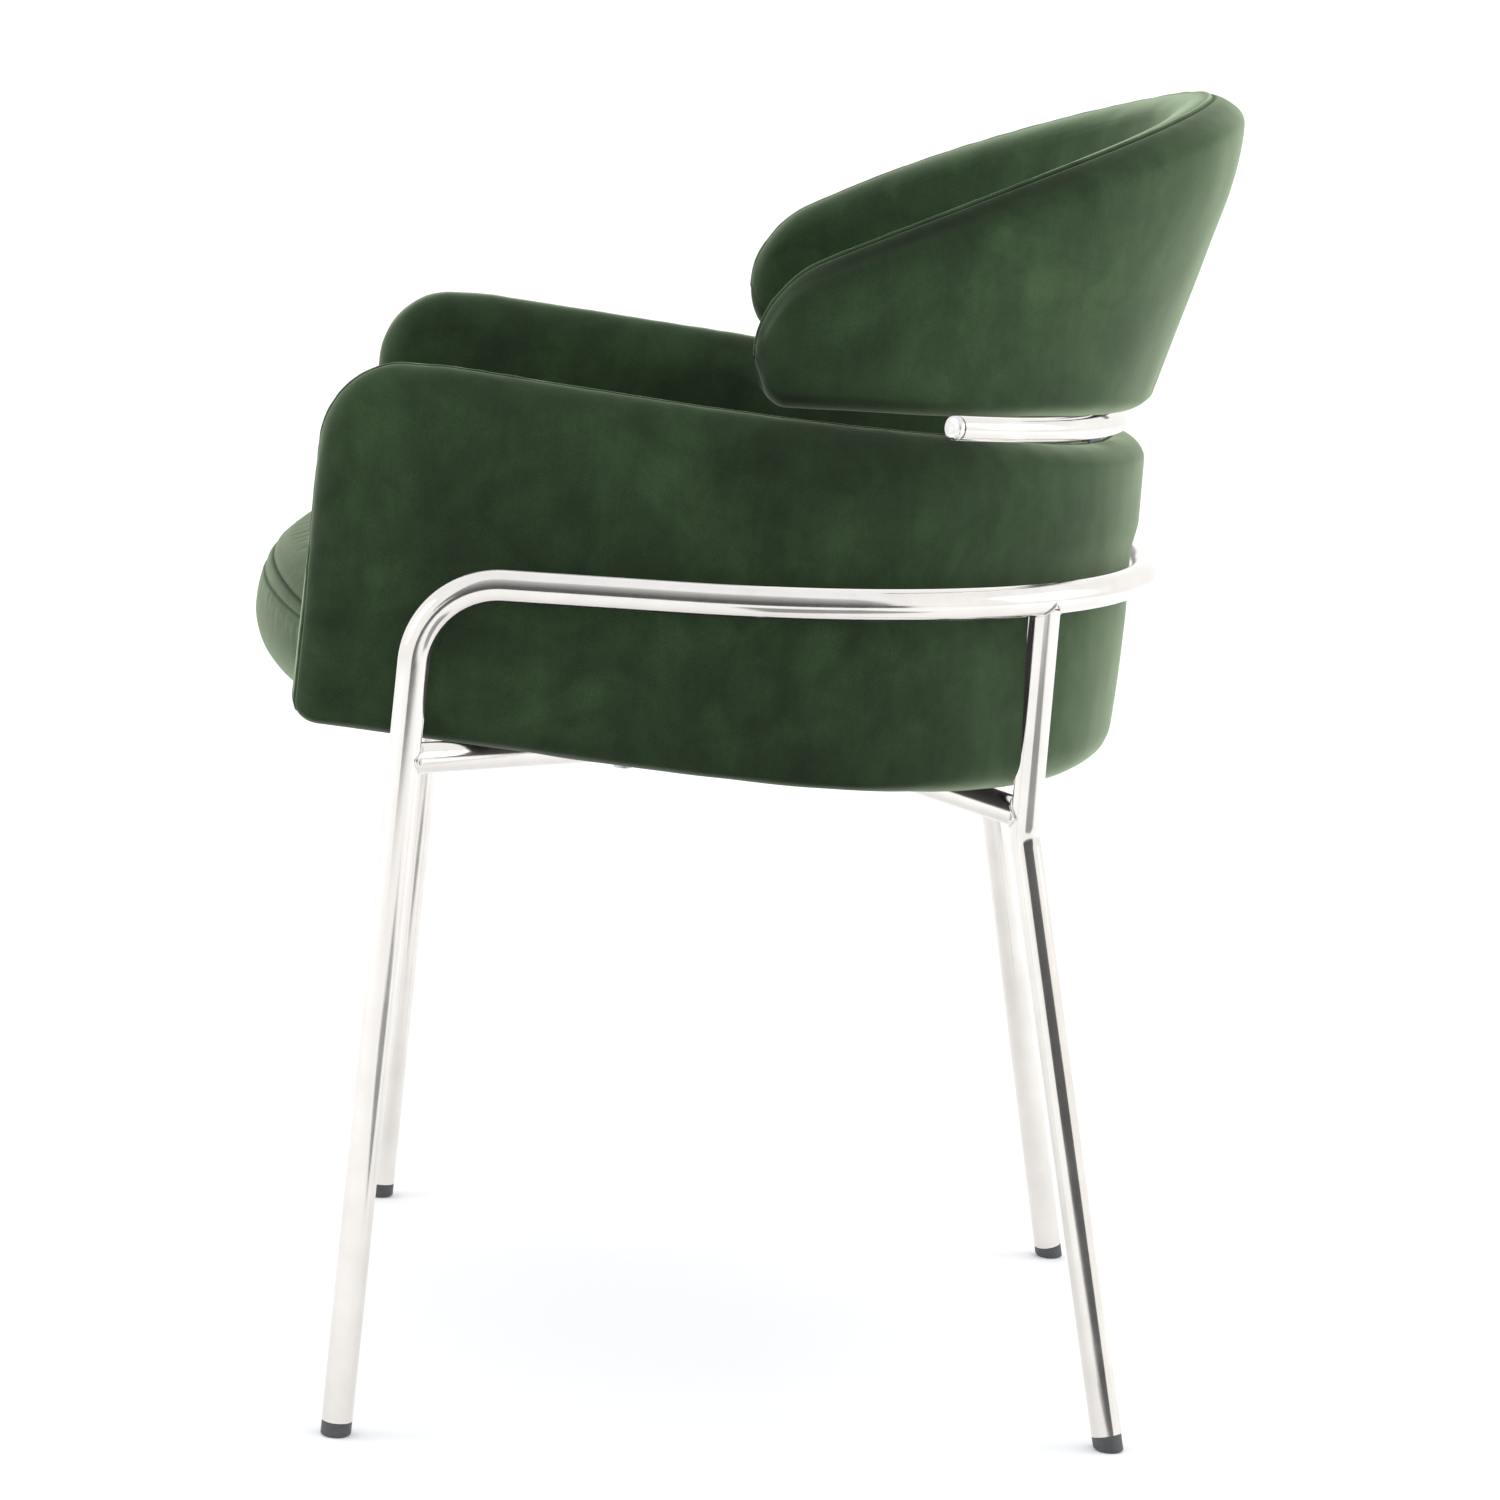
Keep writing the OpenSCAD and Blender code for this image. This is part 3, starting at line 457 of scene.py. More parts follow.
def back_shape(a, t):
    """The upper back's surface at the columns a (angles) and rows t."""
    a = a[None, :]
    to_tip = (BACK_END - np.abs(a)) * BACK_R
    d = np.minimum(1, to_tip / TIP_LENGTH)
    tip = TIP_HEIGHT * (1 - np.sqrt(1 - (1 - d) ** 2))
    crown = CROWN_HEIGHT * (1 - np.sqrt(1 - (1 - np.minimum(1, to_tip / CROWN_LENGTH)) ** 2))
    c = np.cos(a)
    high = BACK_CREST - WING_FALL * (1 - c) - 15 * (1 - c) ** 2 - 1.5 * np.sin(2 * a) ** 2 - crown
    low = BACK_LOW - 6.8 * c**4 - 2.2 * smooth(c / 0.6) + tip
    half = BACK_HALF * np.sqrt(1 - (1 - d) ** 2)
    low_round = np.minimum(11.0, (high - low) / 2.2)
    top_round = np.minimum(16.0, (high - low) / 2.2)
    z, n = section(t, low, high, half, low_round, top_round)
    shift = math.tan(BACK_LEAN) * (z - 700) - 0.0028 * np.maximum(0, z - 725) ** 2
    r = BACK_R + n + shift * c
    return skewed(np.stack([r * np.sin(a), BACK_Y + r * c, z], -1), 130.0, 130.0)


def swelled(name, points, faces, pinned, pressure, cap):
    """How far each grid point moves when its filling blows up the cover: a cloth simulation.

    pinned marks the points that stay. A move is eased off towards cap, so that it never passes it."""
    mesh = bpy.data.meshes.new(name)
    mesh.from_pydata((points.reshape(-1, 3) * MM).tolist(), [], faces)
    obj = bpy.data.objects.new(name, mesh)
    bpy.context.scene.collection.objects.link(obj)
    group = obj.vertex_groups.new(name="held")
    group.add([int(i) for i in np.nonzero(pinned.reshape(-1))[0]], 1.0, "REPLACE")
    cloth = obj.modifiers.new("cloth", "CLOTH")
    s = cloth.settings
    s.quality = 6
    s.mass = 0.35
    s.tension_stiffness = s.compression_stiffness = 12
    s.shear_stiffness = 6
    s.bending_stiffness = 1.5
    s.vertex_group_mass = "held"
    s.use_pressure = True
    s.uniform_pressure_force = pressure
    s.effector_weights.gravity = 0
    cloth.point_cache.frame_start = 1
    cloth.point_cache.frame_end = CLOTH_FRAMES
    for f in range(1, CLOTH_FRAMES + 1):
        bpy.context.scene.frame_set(f)
    evaluated = obj.evaluated_get(bpy.context.evaluated_depsgraph_get())
    co = np.empty(len(mesh.vertices) * 3, np.float32)
    evaluated.data.vertices.foreach_get("co", co)
    moved = co.reshape(points.shape) / MM - points
    bpy.data.objects.remove(obj)
    bpy.context.scene.frame_set(1)
    length = np.linalg.norm(moved, axis=-1, keepdims=True)
    print(name, "swelled by up to", round(float(length.max()), 2), "mm")
    return moved * (cap * np.tanh(length / cap) / np.maximum(length, 1e-9))


def mirrored_rows(rows):
    """The rows of one half of a section, and then the same back to the start."""
    return np.concatenate([rows, 6 - rows[-2:0:-1]])


def edge_distance(points, seam_row):
    """Distance over the surface from the shell's edge line: along the crest, then down both ends."""
    step = np.linalg.norm(np.diff(points, axis=0), axis=-1)
    run = np.concatenate([np.zeros((1, points.shape[1])), np.cumsum(step, 0)])
    across = np.abs(run - run[seam_row])
    step = np.linalg.norm(np.diff(points, axis=1), axis=-1)
    run = np.concatenate([np.zeros((points.shape[0], 1)), np.cumsum(step, 1)], 1)
    along = np.minimum(run, run[:, -1:] - run)
    return np.minimum(across, along)


def padded_shell(name, shape, end, seam_offset, profile, replaces, sim_step):
    """Builds a padded shell: swells it, then works its seams into a finer grid of the same surface."""
    halves = [np.linspace(0, 1, 7)[:-1], np.linspace(1, 2, 22)[:-1], np.linspace(2, 3, 8)]
    rows = mirrored_rows(np.concatenate(halves))
    count = int(2 * end / sim_step) | 1
    cols = end * np.sin(np.linspace(-1, 1, count) * math.pi / 4) / math.sin(math.pi / 4)
    cols = np.clip(cols, -end * 0.9985, end * 0.9985)
    moved = np.zeros((len(rows), count, 3))
    pinned = np.zeros(moved.shape[:2], bool)
    pinned[[0, len(rows) // 2], :] = True
    pinned[:, [0, 1, -2, -1]] = True
    faces = grid_faces(len(rows), count, wrap_rows=True).tolist()
    moved = swelled(name + "_cloth", shape(cols, rows), faces, pinned, SHELL_PRESSURE, SHELL_CAP)
    for _ in range(EASING_PASSES):
        moved[:, 1:-1] = (moved[:, :-2] + 2 * moved[:, 1:-1] + moved[:, 2:]) / 4
        moved[1:-1] = (moved[:-2] + 2 * moved[1:-1] + moved[2:]) / 4
    # The finer grid, with rows close to the crest and columns close to both ends
    halves = [np.linspace(0, 1, 14)[:-1], np.linspace(1, 2, 56)[:-1], np.linspace(2, 3, 20)]
    near_seam = 3 - seam_offset / 36 + np.arange(-12, 13) * 0.012
    fine_rows = np.concatenate([mirrored_rows(np.concatenate(halves)), near_seam])
    fine_rows = np.unique(np.round(fine_rows, 7))
    fine_rows = fine_rows[fine_rows < 6]
    ends = end * (1 - np.linspace(0, 1, 30) ** 2 * 0.045)
    middle = np.arange(-0.955, 0.956, SHELL_STEP / end) * end
    fine_cols = np.unique(np.round(np.concatenate([middle, ends, -ends]), 6))
    fine_cols = np.clip(fine_cols, -end * 0.99995, end * 0.99995)
    move = resample(np.concatenate([moved, moved[:1]]), np.append(rows, 6.0), fine_rows)
    move = np.swapaxes(resample(np.swapaxes(move, 0, 1), cols, fine_cols), 0, 1)
    points = shape(fine_cols, fine_rows) + move
    distance = edge_distance(points, int(np.argmin(np.abs(fine_rows - 3))))
    side = np.where((fine_rows <= 3)[:, None], 1.0, -1.0)
    normal = grid_normals(points)
    if np.sum(normal[30] * (points[30] - points[-30])) < 0:
        normal = -normal
    rise, painted_light = profile(distance * side, points)
    # Painted shade: darker along the lower edge, but not at the rear
    under = smooth((1.15 - np.minimum(fine_rows, 6 - fine_rows)) / 0.45)[:, None]
    painted_light = painted_light * (1 - 0.5 * under * (1 - smooth((points[..., 1] - 60) / 120)))
    points = points + normal * rise[..., None]
    faces = grid_faces(*points.shape[:2], wrap_rows=True)
    obj = make_object(name, points.reshape(-1, 3), faces, VELVET, painted_light=painted_light.reshape(-1))
    # The ends are as good as closed: their points are merged
    close = obj.modifiers.new("close", "WELD")
    close.merge_threshold = 0.25 * MM
    bpy.context.view_layer.update()
    closed = bpy.data.meshes.new_from_object(obj.evaluated_get(bpy.context.evaluated_depsgraph_get()))
    obj.modifiers.clear()
    obj.data = closed
    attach(obj, "root")
    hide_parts(*replaces)
    obj.visible_glossy = False


def tub_profile(s, p):
    """How far the surface is raised, and the light and shade painted on it: a seam along the crest and down
    the front edges.
    """
    front = smooth((-p[..., 1] - 200) / 35)
    offset = 1.5 + (3.0 + 6.5 * smooth((600 - p[..., 2]) / 200)) * front
    d = s - offset
    ripple = wave_noise(p, 22.0, 11)
    rise = 0.4 * bump(d, -1.2, 1.0) - 1.0 * bump(d, 0.7, 0.8)
    rise = rise * (1 + 0.45 * ripple) + 0.22 * ripple * bump(d, 6.0, 8.0)
    # Painted highlight on a line beside the seam, and painted shade in its groove
    painted_light = 1 + 0.7 * bump(d, -1.3, 1.1) - (0.6 + 0.2 * ripple) * bump(d, 0.8, 1.0)
    # Painted sheen: a pale band along the front edges, up to the seam
    painted_light += 0.6 * front * smooth((s + 4) / 4) * smooth(-d / 2)
    # Painted light: the outside grows paler towards the rear
    painted_light += 0.5 * (s > 0) * smooth((p[..., 1] - 30) / 170)
    return rise + 0.55 * wave_noise(p, 130.0, 5) * smooth(np.abs(s) / 25), painted_light


def back_profile(s, p):
    """As tub_profile: a raised seam along the crest, with a hollow under it outside. The hollow's shade, the
    seam's highlight and the paler rear are painted.
    """
    d = s - 0.8
    y = p[..., 1]
    ripple = wave_noise(p, 30.0, 21)
    under = (d > 0) * bump(y, 100.0, 95.0)
    rise = 0.7 * bump(d, -0.5, 1.1) - 0.8 * bump(d, 1.5, 1.2)
    rise = rise * (1 + 0.3 * ripple) - 1.2 * bump(d, 14.0, 10.0) * (d > 0) - 1.8 * under * bump(d, 15.0, 11.0)
    rise += 0.22 * ripple * bump(d, 8.0, 9.0)
    rear = smooth((y + 20) / 230)
    # Painted light: paler towards the rear, on both sides of the seam
    painted_light = 1 + 0.75 * (s < 0) * rear * smooth(-s / 12) + 0.55 * (s > 0) * rear * smooth(s / 30)
    # Painted shade in the hollow under the crest and in the seam's groove
    painted_light = painted_light * (1 - 0.45 * bump(d, 11.0, 12.0) * (d > 0) * bump(y, 90.0, 130.0)) - 0.3 * bump(d, 1.5, 1.3)
    # Painted highlight: a light line along the seam
    painted_light += 2.0 * bump(d, -0.6, 0.9)
    return rise + 0.6 * wave_noise(p, 120.0, 7) * smooth(np.abs(s) / 25), painted_light


padded_shell("tub_upholstery", tub_shape, TUB_END, 6.0, tub_profile,
             ["tub_cover_outer", "tub_cover_inner", "tub_foam_outer", "tub_foam_inner"], sim_step=9.0)


def back_by_length(cols, rows):
    return back_shape(cols / BACK_R, rows)


padded_shell("back_upholstery", back_by_length, BACK_END * BACK_R, 4.0, back_profile,
             ["back_cover_outer", "back_cover_inner", "back_foam_outer", "back_foam_inner"], sim_step=8.0)


# ---- seat cushion --------------------------------------------------------------------------------

REAR_COUNT, SIDE_COUNT, FRONT_COUNT = 240, 80, 320     # points round the cushion's plan
SEAT_RING = REAR_COUNT + 2 * SIDE_COUNT + FRONT_COUNT
SIM_RING = 180                   # and round the grid that is simulated
SEAT_PRESSURE = 3.0
SEAT_CAP = 7.0                   # how far the seat's cover may swell
SEAT_R = TUB_R - 2 * TUB_HALF - 0.5
FRONT_CENTRE = SEAT_FRONT_R - NOSE_Y


def seat_outline(front_inset, side_inset):
    """The cushion's plan, drawn in from the nose and from the tub's wall by the two insets."""
    r = SEAT_R - side_inset
    turn = np.linspace(-math.pi / 2 - TOE_IN, math.pi / 2 + TOE_IN, REAR_COUNT, endpoint=False)
    rear = np.stack([r * np.sin(turn), ARC_Y + r * np.cos(turn)], -1)
    x0, y0 = -rear[0, 0], rear[0, 1]
    front_r = SEAT_FRONT_R - front_inset
    y1 = -240.0
    for _ in range(6):
        x1 = x0 + (y1 - y0) * math.tan(TOE_IN)
        y1 = FRONT_CENTRE - math.sqrt(front_r**2 - x1 * x1)
    share = np.linspace(0, 1, SIDE_COUNT, endpoint=False)[:, None]
    right = np.array([x0, y0]) * (1 - share) + np.array([x1, y1]) * share
    x = np.linspace(x1, -x1, FRONT_COUNT, endpoint=False)
    front = np.stack([x, FRONT_CENTRE - np.sqrt(front_r**2 - x * x)], -1)
    left = np.array([-x1, y1]) * (1 - share) + np.array([-x0, y0]) * share
    return np.concatenate([rear, right, front, left])


def softened(values, width):
    """Values round the ring, smoothed over about width points."""
    k = np.arange(-3 * width, 3 * width + 1)
    kernel = np.exp(-0.5 * (k / width) ** 2)
    kernel /= kernel.sum()
    return sum(weight * np.roll(values, int(i), axis=0) for i, weight in zip(k, kernel))


def seat_shape(cols, rows):
    """Rings from the lower edge (row 0) round the nose and the borders (row 1) to the middle (row 2)."""
    nose = np.zeros(SEAT_RING)
    nose[REAR_COUNT + SIDE_COUNT:REAR_COUNT + SIDE_COUNT + FRONT_COUNT] = 1.0
    nose = softened(nose, 5)
    border = 0.45                # the share of the rim that is upright at the sides and the rear
    rings = []
    for t in rows:
        rim, top = min(t, 1.0), max(t - 1, 0.0)
        angle = NOSE_START + (rad(90) - NOSE_START) * rim
        nose_z = NOSE_Z + (NOSE_UP if angle > 0 else NOSE_DOWN) * math.sin(angle)
        small = math.pi / 2 * max(0, (rim - border) / (1 - border))
        side_z = SEAT_EDGE_Z + 54 * min(1, rim / border) + 18 * math.sin(small)
        xy = softened(seat_outline(NOSE_DEPTH * (1 - math.cos(angle)), 18 * (1 - math.cos(small))), 3)
        # The nose's lower edge rises towards the arms
        tuck = 6.0 * smooth((np.abs(xy[:, 0]) - 110) / 90) * max(0.0, -math.sin(angle))
        z = nose * (nose_z + tuck) + (1 - nose) * side_z
        xy = xy * (1 - top) + SEAT_MIDDLE * top
        z = z + (SEAT_TOP - 503.5) * smooth(top / 0.7) + (1 - nose) * 2.5 * smooth(top / 0.3)
        ring = np.column_stack([xy, z])
        whole = np.floor(cols).astype(int) % SEAT_RING
        part = (cols - np.floor(cols))[:, None]
        rings.append(ring[whole] * (1 - part) + ring[(whole + 1) % SEAT_RING] * part)
    return np.array(rings)


def nose_seams(p, fine_rows):
    """How far the cushion's surface is raised, and the light and shade painted on it: a seam and topstitching
    run across the nose.
    """
    # Both lines fall towards the arms, the seam more than the topstitching
    out = (p[..., 0] / 215.0) ** 2
    z = p[..., 2] - 4.5 + 8.5 * out
    stitch_z = z - 3.5 * out
    ripple = wave_noise(p, 14.0, 31)
    stitch = 0.5 + 0.5 * np.sin(p[..., 0] * 2 * math.pi / STITCH_LENGTH)
    fade = smooth((-p[..., 1] - 150) / 60) * (fine_rows[:, None] < 1.0)
    lines = -1.2 * bump(z, SEAM_Z, 1.0) - (0.7 + 0.6 * stitch) * bump(stitch_z, TOPSTITCH_Z, 0.9)
    lips = 0.6 * bump(z, SEAM_Z - 4.0, 2.4) + 0.5 * bump(z, SEAM_Z + 4.0, 2.6) \
        + 0.3 * bump(z, TOPSTITCH_Z - 3.0, 3.0)
    pucker = 0.16 * ripple * (bump(z, SEAM_Z - 16.0, 7.0) + 0.4 * bump(z, SEAM_Z + 8.0, 7.0))
    rise = (lines * (1 + 0.15 * ripple) + lips + pucker) * fade
    rise += 0.6 * wave_noise(p, 110.0, 9) * smooth(fine_rows / 0.2)[:, None]
    # Painted shade in the seam's groove and in the topstitching's holes
    painted_light = 1 - fade * (0.55 * bump(z, SEAM_Z, 1.1) + 0.55 * stitch * bump(stitch_z, TOPSTITCH_Z, 1.0))
    return rise, painted_light


def seat_cushion():
    rows = np.concatenate([np.linspace(0, 1, 22)[:-1], 1 + np.linspace(0, 1, 24)[:-1]])
    cols = np.linspace(0, SEAT_RING, SIM_RING + 1)[:-1]
    points = seat_shape(cols, rows)
    r, c = points.shape[:2]
    moved = np.zeros_like(points)
    pinned = np.zeros((r, c), bool)
    pinned[0] = True
    pinned[np.argmin(np.abs(rows - 0.70))] = True
    faces = grid_faces(r, c, wrap_cols=True).tolist()
    faces += [[(r - 1) * c + j for j in range(c)], list(range(c))[::-1]]
    moved = swelled("seat_cloth", points, faces, pinned, SEAT_PRESSURE, SEAT_CAP)
    # The finer grid, with rows close to the two sewn lines
    rim_rows = [np.linspace(0, 0.45, 50), np.linspace(0.45, 0.72, 110), np.linspace(0.72, 1, 40)]
    top_rows = [1 + np.linspace(0, 0.985, 70)]
    fine_rows = np.unique(np.round(np.concatenate(rim_rows + top_rows), 6))
    fine_cols = np.arange(0, SEAT_RING, 1.5)
    looped = np.concatenate([moved, moved[:, :1]], 1)
    move = resample(looped, rows, np.minimum(fine_rows, rows[-1]))
    move = np.swapaxes(resample(np.swapaxes(move, 0, 1), np.append(cols, float(SEAT_RING)), fine_cols), 0, 1)
    p = seat_shape(fine_cols, fine_rows) + move
    normal = np.cross(np.roll(p, -1, 1) - np.roll(p, 1, 1), np.gradient(p, axis=0))
    normal /= np.maximum(np.linalg.norm(normal, axis=-1, keepdims=True), 1e-9)
    if normal[-5, :, 2].mean() < 0:
        normal = -normal
    rise, painted_light = nose_seams(p, fine_rows)
    p = p + normal * rise[..., None]
    # A point in the middle closes the top, and another the bottom
    r, c = p.shape[:2]
    faces = grid_faces(r, c, wrap_cols=True).tolist()
    verts = p.reshape(-1, 3).tolist()
    top, bottom = len(verts), len(verts) + 1
    verts += [p[-1].mean(0).tolist(), [*SEAT_MIDDLE, float(p[0, :, 2].mean()) + 4]]
    faces += [[(r - 1) * c + j, (r - 1) * c + (j + 1) % c, top] for j in range(c)]
    faces += [[(j + 1) % c, j, bottom] for j in range(c)]
    painted_light = np.append(painted_light.reshape(-1), [1.0, 1.0])
    obj = make_object("seat_cushion", verts, faces, VELVET, painted_light=painted_light)
    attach(obj, "root")
    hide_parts("seat_cover_top", "seat_cover_front", "seat_foam")
    obj.visible_glossy = False


seat_cushion()


# ---- metal tubes ---------------------------------------------------------------------------------

def arc_between(a, v, b, r, steps=24):
    """Points of the bend of radius r that joins the lines a-v and v-b."""
    d1, d2 = unit(v - a), unit(b - v)
    turn = math.acos(float(np.clip(d1 @ d2, -1, 1)))
    inward = unit(d2 - (d1 @ d2) * d1)
    start = v - d1 * r * math.tan(turn / 2)
    centre = start + inward * r
    return [centre + r * (math.sin(q) * d1 - math.cos(q) * inward) for q in np.linspace(0, turn, steps)]


def straight(a, b, step=12.0):
    count = max(2, int(np.linalg.norm(b - a) / step))
    return [a + (b - a) * i / count for i in range(count + 1)]


def swept(path, radius, sides=40):
    """Points and faces of a round tube along the path, with flat ends."""
    path = np.array([p for i, p in enumerate(path) if i == 0 or np.linalg.norm(p - path[i - 1]) > 0.01])
    tangent = np.gradient(path, axis=0)
    tangent /= np.linalg.norm(tangent, axis=1, keepdims=True)
    x = unit(np.cross(tangent[0], [0.31, 0.17, 0.93]))
    rings = []
    radius = np.broadcast_to(radius, len(path))
    for p, d, r in zip(path, tangent, radius):
        x = unit(x - (x @ d) * d)
        y = np.cross(d, x)
        a = np.linspace(0, 2 * math.pi, sides, endpoint=False)
        rings.append(p + r * (np.cos(a)[:, None] * x + np.sin(a)[:, None] * y))
    verts = np.concatenate(rings)
    faces = grid_faces(len(path), sides, wrap_cols=True).tolist()
    faces += [list(range(sides))[::-1], [(len(path) - 1) * sides + j for j in range(sides)]]
    return verts, faces


def metal(name, path, radius, replaces, material=None, sides=40):
    """A turned or bent piece of metal along the path, its radius a number or one for each point."""
    verts, faces = swept(path, radius, sides)
    obj = make_object(name, verts, faces, material or CHROME)
    obj.data.set_sharp_from_angle(angle=EDGE_ANGLE)
    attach(obj, "root")
    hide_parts(*replaces)


def flipped(p):
    return np.asarray(p) * np.array([-1.0, 1.0, 1.0])


foot_start = FRONT_FOOT + unit(FRONT_KNEE - FRONT_FOOT) * GLIDE_TOP
right_half = straight(foot_start, arc_between(FRONT_FOOT, FRONT_KNEE, HOOP_TANGENT, FRONT_BEND)[0]) \
    + arc_between(FRONT_FOOT, FRONT_KNEE, HOOP_TANGENT, FRONT_BEND)
right_half += straight(right_half[-1], HOOP_TANGENT)[1:]
rear_arc = [np.array([HOOP_R * math.sin(a), ARC_Y + HOOP_R * math.cos(a), HOOP_Z])
            for a in np.linspace(math.pi / 2 + TOE_IN, -math.pi / 2 - TOE_IN, 121)]
hoop_path = right_half + rear_arc[1:-1] + [flipped(p) for p in right_half[::-1]]
metal("hoop", hoop_path, TUBE_R, ["hoop_tube"], sides=48)


def leg_path(foot, knee, top, radius):
    bend = arc_between(foot, knee, top, radius)
    start = foot + unit(knee - foot) * GLIDE_TOP
    stop = top - unit(top - knee) * TUBE_R * 0.55
    return straight(start, bend[0]) + bend[1:] + straight(bend[-1], stop)[1:]


rear_right = leg_path(REAR_FOOT, REAR_KNEE, REAR_TOP, REAR_BEND)
metal("rear_leg_r", rear_right, TUBE_R, ["rear_leg_right"], sides=48)
metal("rear_leg_l", [flipped(p) for p in rear_right], TUBE_R, ["rear_leg_left"], sides=48)

BRACE_F = FRONT_FOOT + BRACE_FRONT_Z * FRONT_RISE
RISE = (REAR_TOP - REAR_KNEE) / (REAR_TOP[2] - REAR_KNEE[2])
BRACE_R = REAR_KNEE + (BRACE_REAR_Z - REAR_KNEE[2]) * RISE
CROSS = BRACE_F + (flipped(BRACE_R) - BRACE_F) * BRACE_F[0] / (BRACE_F[0] + BRACE_R[0])


def inset_line(a, b, cut_a, cut_b):
    d = unit(b - a)
    return straight(a + d * cut_a, b - d * cut_b)


metal("brace_full", inset_line(BRACE_F, flipped(BRACE_R), 5, 5), TUBE_R, ["brace_long"])
metal("brace_front_half", inset_line(flipped(BRACE_F), CROSS, 5, 5), TUBE_R, ["brace_half_front"])
metal("brace_rear_half", inset_line(CROSS, BRACE_R, 5, 5), TUBE_R, ["brace_half_rear"])


def weld_bead(name, start, end, host, bead, seed):
    """A dressed weld, bead in radius, where a tube from start to end runs into the tube along host."""
    d = unit(end - start)
    x = unit(np.cross(d, [0.2, 0.1, 0.97]))
    y = np.cross(d, x)
    host = np.array(host)
    seg_a, seg_b = host[:-1], host[1:]
    seg = seg_b - seg_a
    length2 = np.sum(seg * seg, 1)
    ring = []
    rng = np.random.default_rng(seed)
    reach = np.linalg.norm(end - start)
    ts = np.linspace(reach - 30, reach + 6, 260)
    for a in np.linspace(0, 2 * math.pi, 56, endpoint=False):
        q = start + TUBE_R * (math.cos(a) * x + math.sin(a) * y) + ts[:, None] * d
        k = np.clip(np.einsum("ijk,jk->ij", q[:, None] - seg_a[None], seg) / length2, 0, 1)
        near = seg_a[None] + k[..., None] * seg[None]
        dist = np.linalg.norm(q[:, None] - near, axis=-1).min(1)
        hit = np.argmax(dist < TUBE_R) if np.any(dist < TUBE_R) else int(np.argmin(dist))
        ring.append(q[hit])
    ring = np.array(ring)
    count, sides = len(ring), 12
    tangent = np.roll(ring, -1, 0) - np.roll(ring, 1, 0)
    tangent /= np.linalg.norm(tangent, axis=1, keepdims=True)
    verts = []
    for i in range(count):
        u = unit(np.cross(tangent[i], d))
        v = np.cross(tangent[i], u)
        r = bead * (1 + 0.10 * math.sin(i * 1.9) + 0.06 * rng.uniform(-1, 1))
        b = np.linspace(0, 2 * math.pi, sides, endpoint=False)
        verts.append(ring[i] + r * (np.cos(b)[:, None] * u + np.sin(b)[:, None] * v))
    faces = grid_faces(count, sides, wrap_rows=True, wrap_cols=True)
    obj = make_object(name, np.concatenate(verts), faces, WELD)
    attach(obj, "root")


HOOP_BEAD = 1.1
BRACE_BEAD = 1.5
for tag, m in (("r", np.asarray), ("l", flipped)):
    host = [m(p) for p in rear_arc]
    weld_bead("weld_leg_hoop_" + tag, m(REAR_KNEE), m(REAR_TOP), host, HOOP_BEAD, 3)
    front_leg = [m(p) for p in straight(FRONT_FOOT, FRONT_KNEE, 40)]
    rear_leg = [m(REAR_KNEE), m(REAR_TOP)]
    weld_bead("weld_brace_front_" + tag, m(CROSS), m(BRACE_F), front_leg, BRACE_BEAD, 5)
    weld_bead("weld_brace_rear_" + tag, m(CROSS), m(BRACE_R), rear_leg, BRACE_BEAD, 7)
long_line = [BRACE_F, flipped(BRACE_R)]
weld_bead("weld_cross_front", flipped(BRACE_F), CROSS, long_line, BRACE_BEAD, 9)
weld_bead("weld_cross_rear", BRACE_R, CROSS, long_line, BRACE_BEAD, 11)


def support_point(a):
    """A point of the back support tube's centre line, at the angle a from the rear."""
    x, back_by = SUPPORT_R * math.sin(a), SUPPORT_R - SUPPORT_R * math.cos(a)
    y, z = SUPPORT_Y - back_by * math.cos(SUPPORT_TILT), SUPPORT_Z + back_by * math.sin(SUPPORT_TILT)
    return np.array([x, y - SUPPORT_SKEW * x, z + SUPPORT_LIFT])


support_path = [support_point(a) for a in np.linspace(SUPPORT_SPAN, -SUPPORT_SPAN, 97)]
metal("back_support", support_path, SUPPORT_TUBE_R, ["back_support_tube"], sides=44)
support_end = support_path[0]
end_direction = unit(support_point(SUPPORT_SPAN + 0.001) - support_end)
# An end cap's spigot, groove and domed head: distance past the tube's end, and depth below its surface
cap_profile = [(-8.0, 1.6), (0.0, 1.4), (0.7, 1.2), (0.75, 0.7), (1.0, 0.2), (1.3, 0.1), (3.6, 0.1),
               (4.3, 0.35), (4.8, 1.0), (5.1, 2.0), (5.2, 4.0), (5.22, 6.7)]
cap_path = [support_end + end_direction * d for d, _ in cap_profile]
cap_radius = np.array([SUPPORT_TUBE_R - depth for _, depth in cap_profile])
metal("support_end_right", cap_path, cap_radius, ["support_cap_right"], WELD, sides=44)
metal("support_end_left", [flipped(p) for p in cap_path], cap_radius, ["support_cap_left"], WELD, sides=44)


# ---- finishes of the CAD nodes that stay -----------------------------------------------------------

# The back posts take the dark plastic finish, which makes them as dark as the shade in the gap behind the
# back: painted shade.
FINISH = {"glide_front_left": PLASTIC, "glide_front_right": PLASTIC, "glide_rear_left": PLASTIC,
          "glide_rear_right": PLASTIC, "brace_spacers": PLASTIC, "back_post_left": PLASTIC,
          "back_post_right": PLASTIC, "post_screws_lower": STEEL, "post_screws_upper": STEEL,
          "brace_bolts": STEEL, "seat_tee_nuts": STEEL,
          "panel_screws": STEEL, "seat_panel": PLYWOOD, "tub_core": PLYWOOD, "back_core": PLYWOOD,
          "dust_cover": CLOTH}
for name, material in FINISH.items():
    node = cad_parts[name]
    node.data.materials.clear()
    node.data.materials.append(material)
    node.visible_glossy = material is not PLYWOOD


# ---- floor, light and camera -----------------------------------------------------------------------

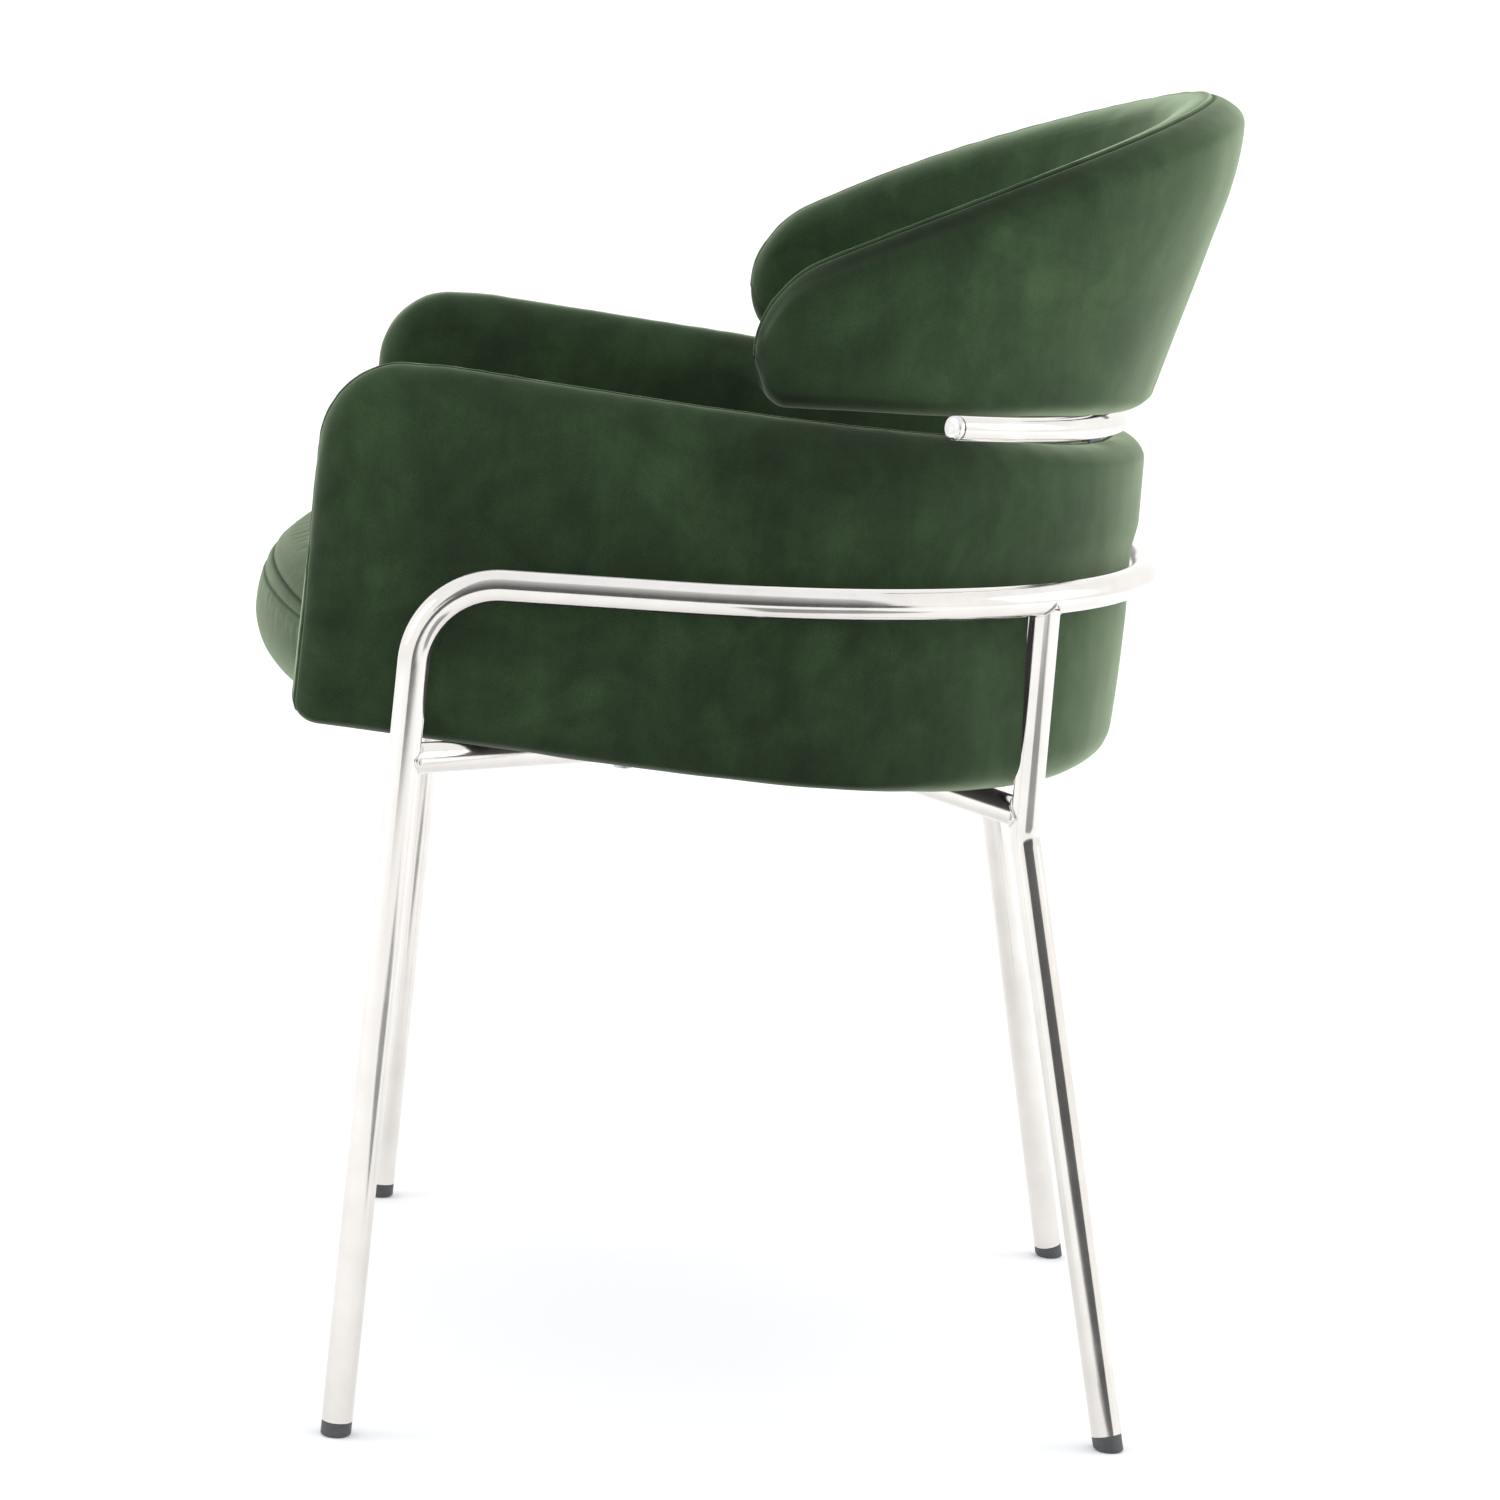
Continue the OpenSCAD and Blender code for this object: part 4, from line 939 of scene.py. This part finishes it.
def stage_floor():
    mat, nodes, links, bsdf, coord = new_material("studio_floor")
    soft = noise(nodes, links, coord, 2.0, 2.0)
    tone = ramp(nodes, links, soft, [(0.3, (0.93, 0.93, 0.93)), (0.7, (0.95, 0.95, 0.95))])
    links.new(tone, bsdf.inputs["Base Color"])
    bsdf.inputs["Roughness"].default_value = 0.9
    bsdf.inputs["Specular IOR Level"].default_value = 0.1
    links.new(tone, bsdf.inputs["Emission Color"])
    bsdf.inputs["Emission Strength"].default_value = 0.08
    far, z = 20000.0, -0.2
    corners = [[-far, -far, z], [far, -far, z], [far, far, z], [-far, far, z]]
    floor = make_object("floor", corners, [[0, 1, 2, 3]], mat)


stage_floor()


def studio_world():
    """A bright, even studio, a little cooler above."""
    world = bpy.data.worlds.new("studio")
    bpy.context.scene.world = world
    world.use_nodes = True
    nodes, links = world.node_tree.nodes, world.node_tree.links
    nodes.clear()
    out = nodes.new("ShaderNodeOutputWorld")
    background = nodes.new("ShaderNodeBackground")
    links.new(background.outputs["Background"], out.inputs["Surface"])
    split = nodes.new("ShaderNodeSeparateXYZ")
    links.new(nodes.new("ShaderNodeTexCoord").outputs["Generated"], split.inputs["Vector"])
    height = nodes.new("ShaderNodeMapRange")
    height.inputs["From Min"].default_value = -1.0
    links.new(split.outputs["Z"], height.inputs["Value"])
    tone = ramp(nodes, links, height.outputs["Result"],
                [(0.0, (1.0, 0.99, 0.97)), (0.6, (1.0, 1.0, 1.0)), (1.0, (0.93, 0.95, 1.0))])
    links.new(tone, background.inputs["Color"])
    background.inputs["Strength"].default_value = 1.18


studio_world()


def area_light(name, location, target, size, power):
    light = bpy.data.lights.new(name, "AREA")
    light.shape = "RECTANGLE"
    light.size, light.size_y = size
    light.energy = power
    obj = bpy.data.objects.new(name, light)
    bpy.context.scene.collection.objects.link(obj)
    obj.location = location
    obj.rotation_euler = (Vector(target) - Vector(location)).to_track_quat("-Z", "Y").to_euler()


MID = (0.0, 0.0, 0.45)
area_light("key_front", (0.6, -3.2, 1.6), MID, (1.6, 1.6), 22)
area_light("rim_rear", (-0.4, 3.2, 1.6), MID, (1.6, 1.6), 22)


def reflection_card(name, corners, foot_tone, head_tone):
    """A grey card beside the set, its corners in metres, that only reflections show."""
    mat, nodes, links, bsdf, coord = new_material(name)
    split = nodes.new("ShaderNodeSeparateXYZ")
    links.new(nodes.new("ShaderNodeTexCoord").outputs["Generated"], split.inputs["Vector"])
    links.new(ramp(nodes, links, split.outputs["Z"], [(0.0, (foot_tone,) * 3), (1.0, (head_tone,) * 3)]),
              bsdf.inputs["Base Color"])
    bsdf.inputs["Roughness"].default_value = 1.0
    card = make_object(name, np.array(corners) / MM, [[0, 1, 2, 3]], mat)
    card.visible_camera = card.visible_diffuse = card.visible_shadow = False


def upright_card(x, left, right, low, high):
    """The corners, in metres, of a card that stands square to the x axis."""
    return [[x, left, low], [x, right, low], [x, right, high], [x, left, high]]


reflection_card("card_low", upright_card(2.1, -0.65, 2.6, 0.0, 0.72), 0.07, 0.09)
reflection_card("card_high", upright_card(2.1, -1.1, 2.2, 0.72, 3.2), 0.10, 0.60)
reflection_card("card_far", upright_card(-2.1, -0.9, 0.1, 0.45, 1.9), 0.25, 0.50)
floor_corners = [[0.5, 0.14, 0.01], [1.0, 0.14, 0.01], [1.0, 0.75, 0.01], [0.5, 0.75, 0.01]]
reflection_card("card_floor", floor_corners, 0.3, 0.3)


def photo_camera():
    """The camera that a fit to the legs, the feet and the upholstery gives."""
    location = np.array([3.09441, -0.0925, 0.89596])
    yaw, pitch, roll = 0.0359516, 0.1690788, 0.0681358
    forward = np.array([-math.cos(yaw) * math.cos(pitch), math.sin(yaw) * math.cos(pitch), -math.sin(pitch)])
    right = unit(np.cross(forward, [0, 0, 1]))
    up = np.cross(right, forward)
    right, up = right * math.cos(roll) + up * math.sin(roll), up * math.cos(roll) - right * math.sin(roll)
    camera = bpy.data.cameras.new("camera")
    camera.lens = 122.286
    camera.sensor_width = 36.0
    camera.clip_end = 100.0
    obj = bpy.data.objects.new("camera", camera)
    bpy.context.scene.collection.objects.link(obj)
    turn = Matrix((right, up, -forward)).transposed().to_4x4()
    obj.matrix_world = Matrix.Translation(location) @ turn
    bpy.context.scene.camera = obj


photo_camera()
bpy.context.scene.view_settings.view_transform = "Standard"
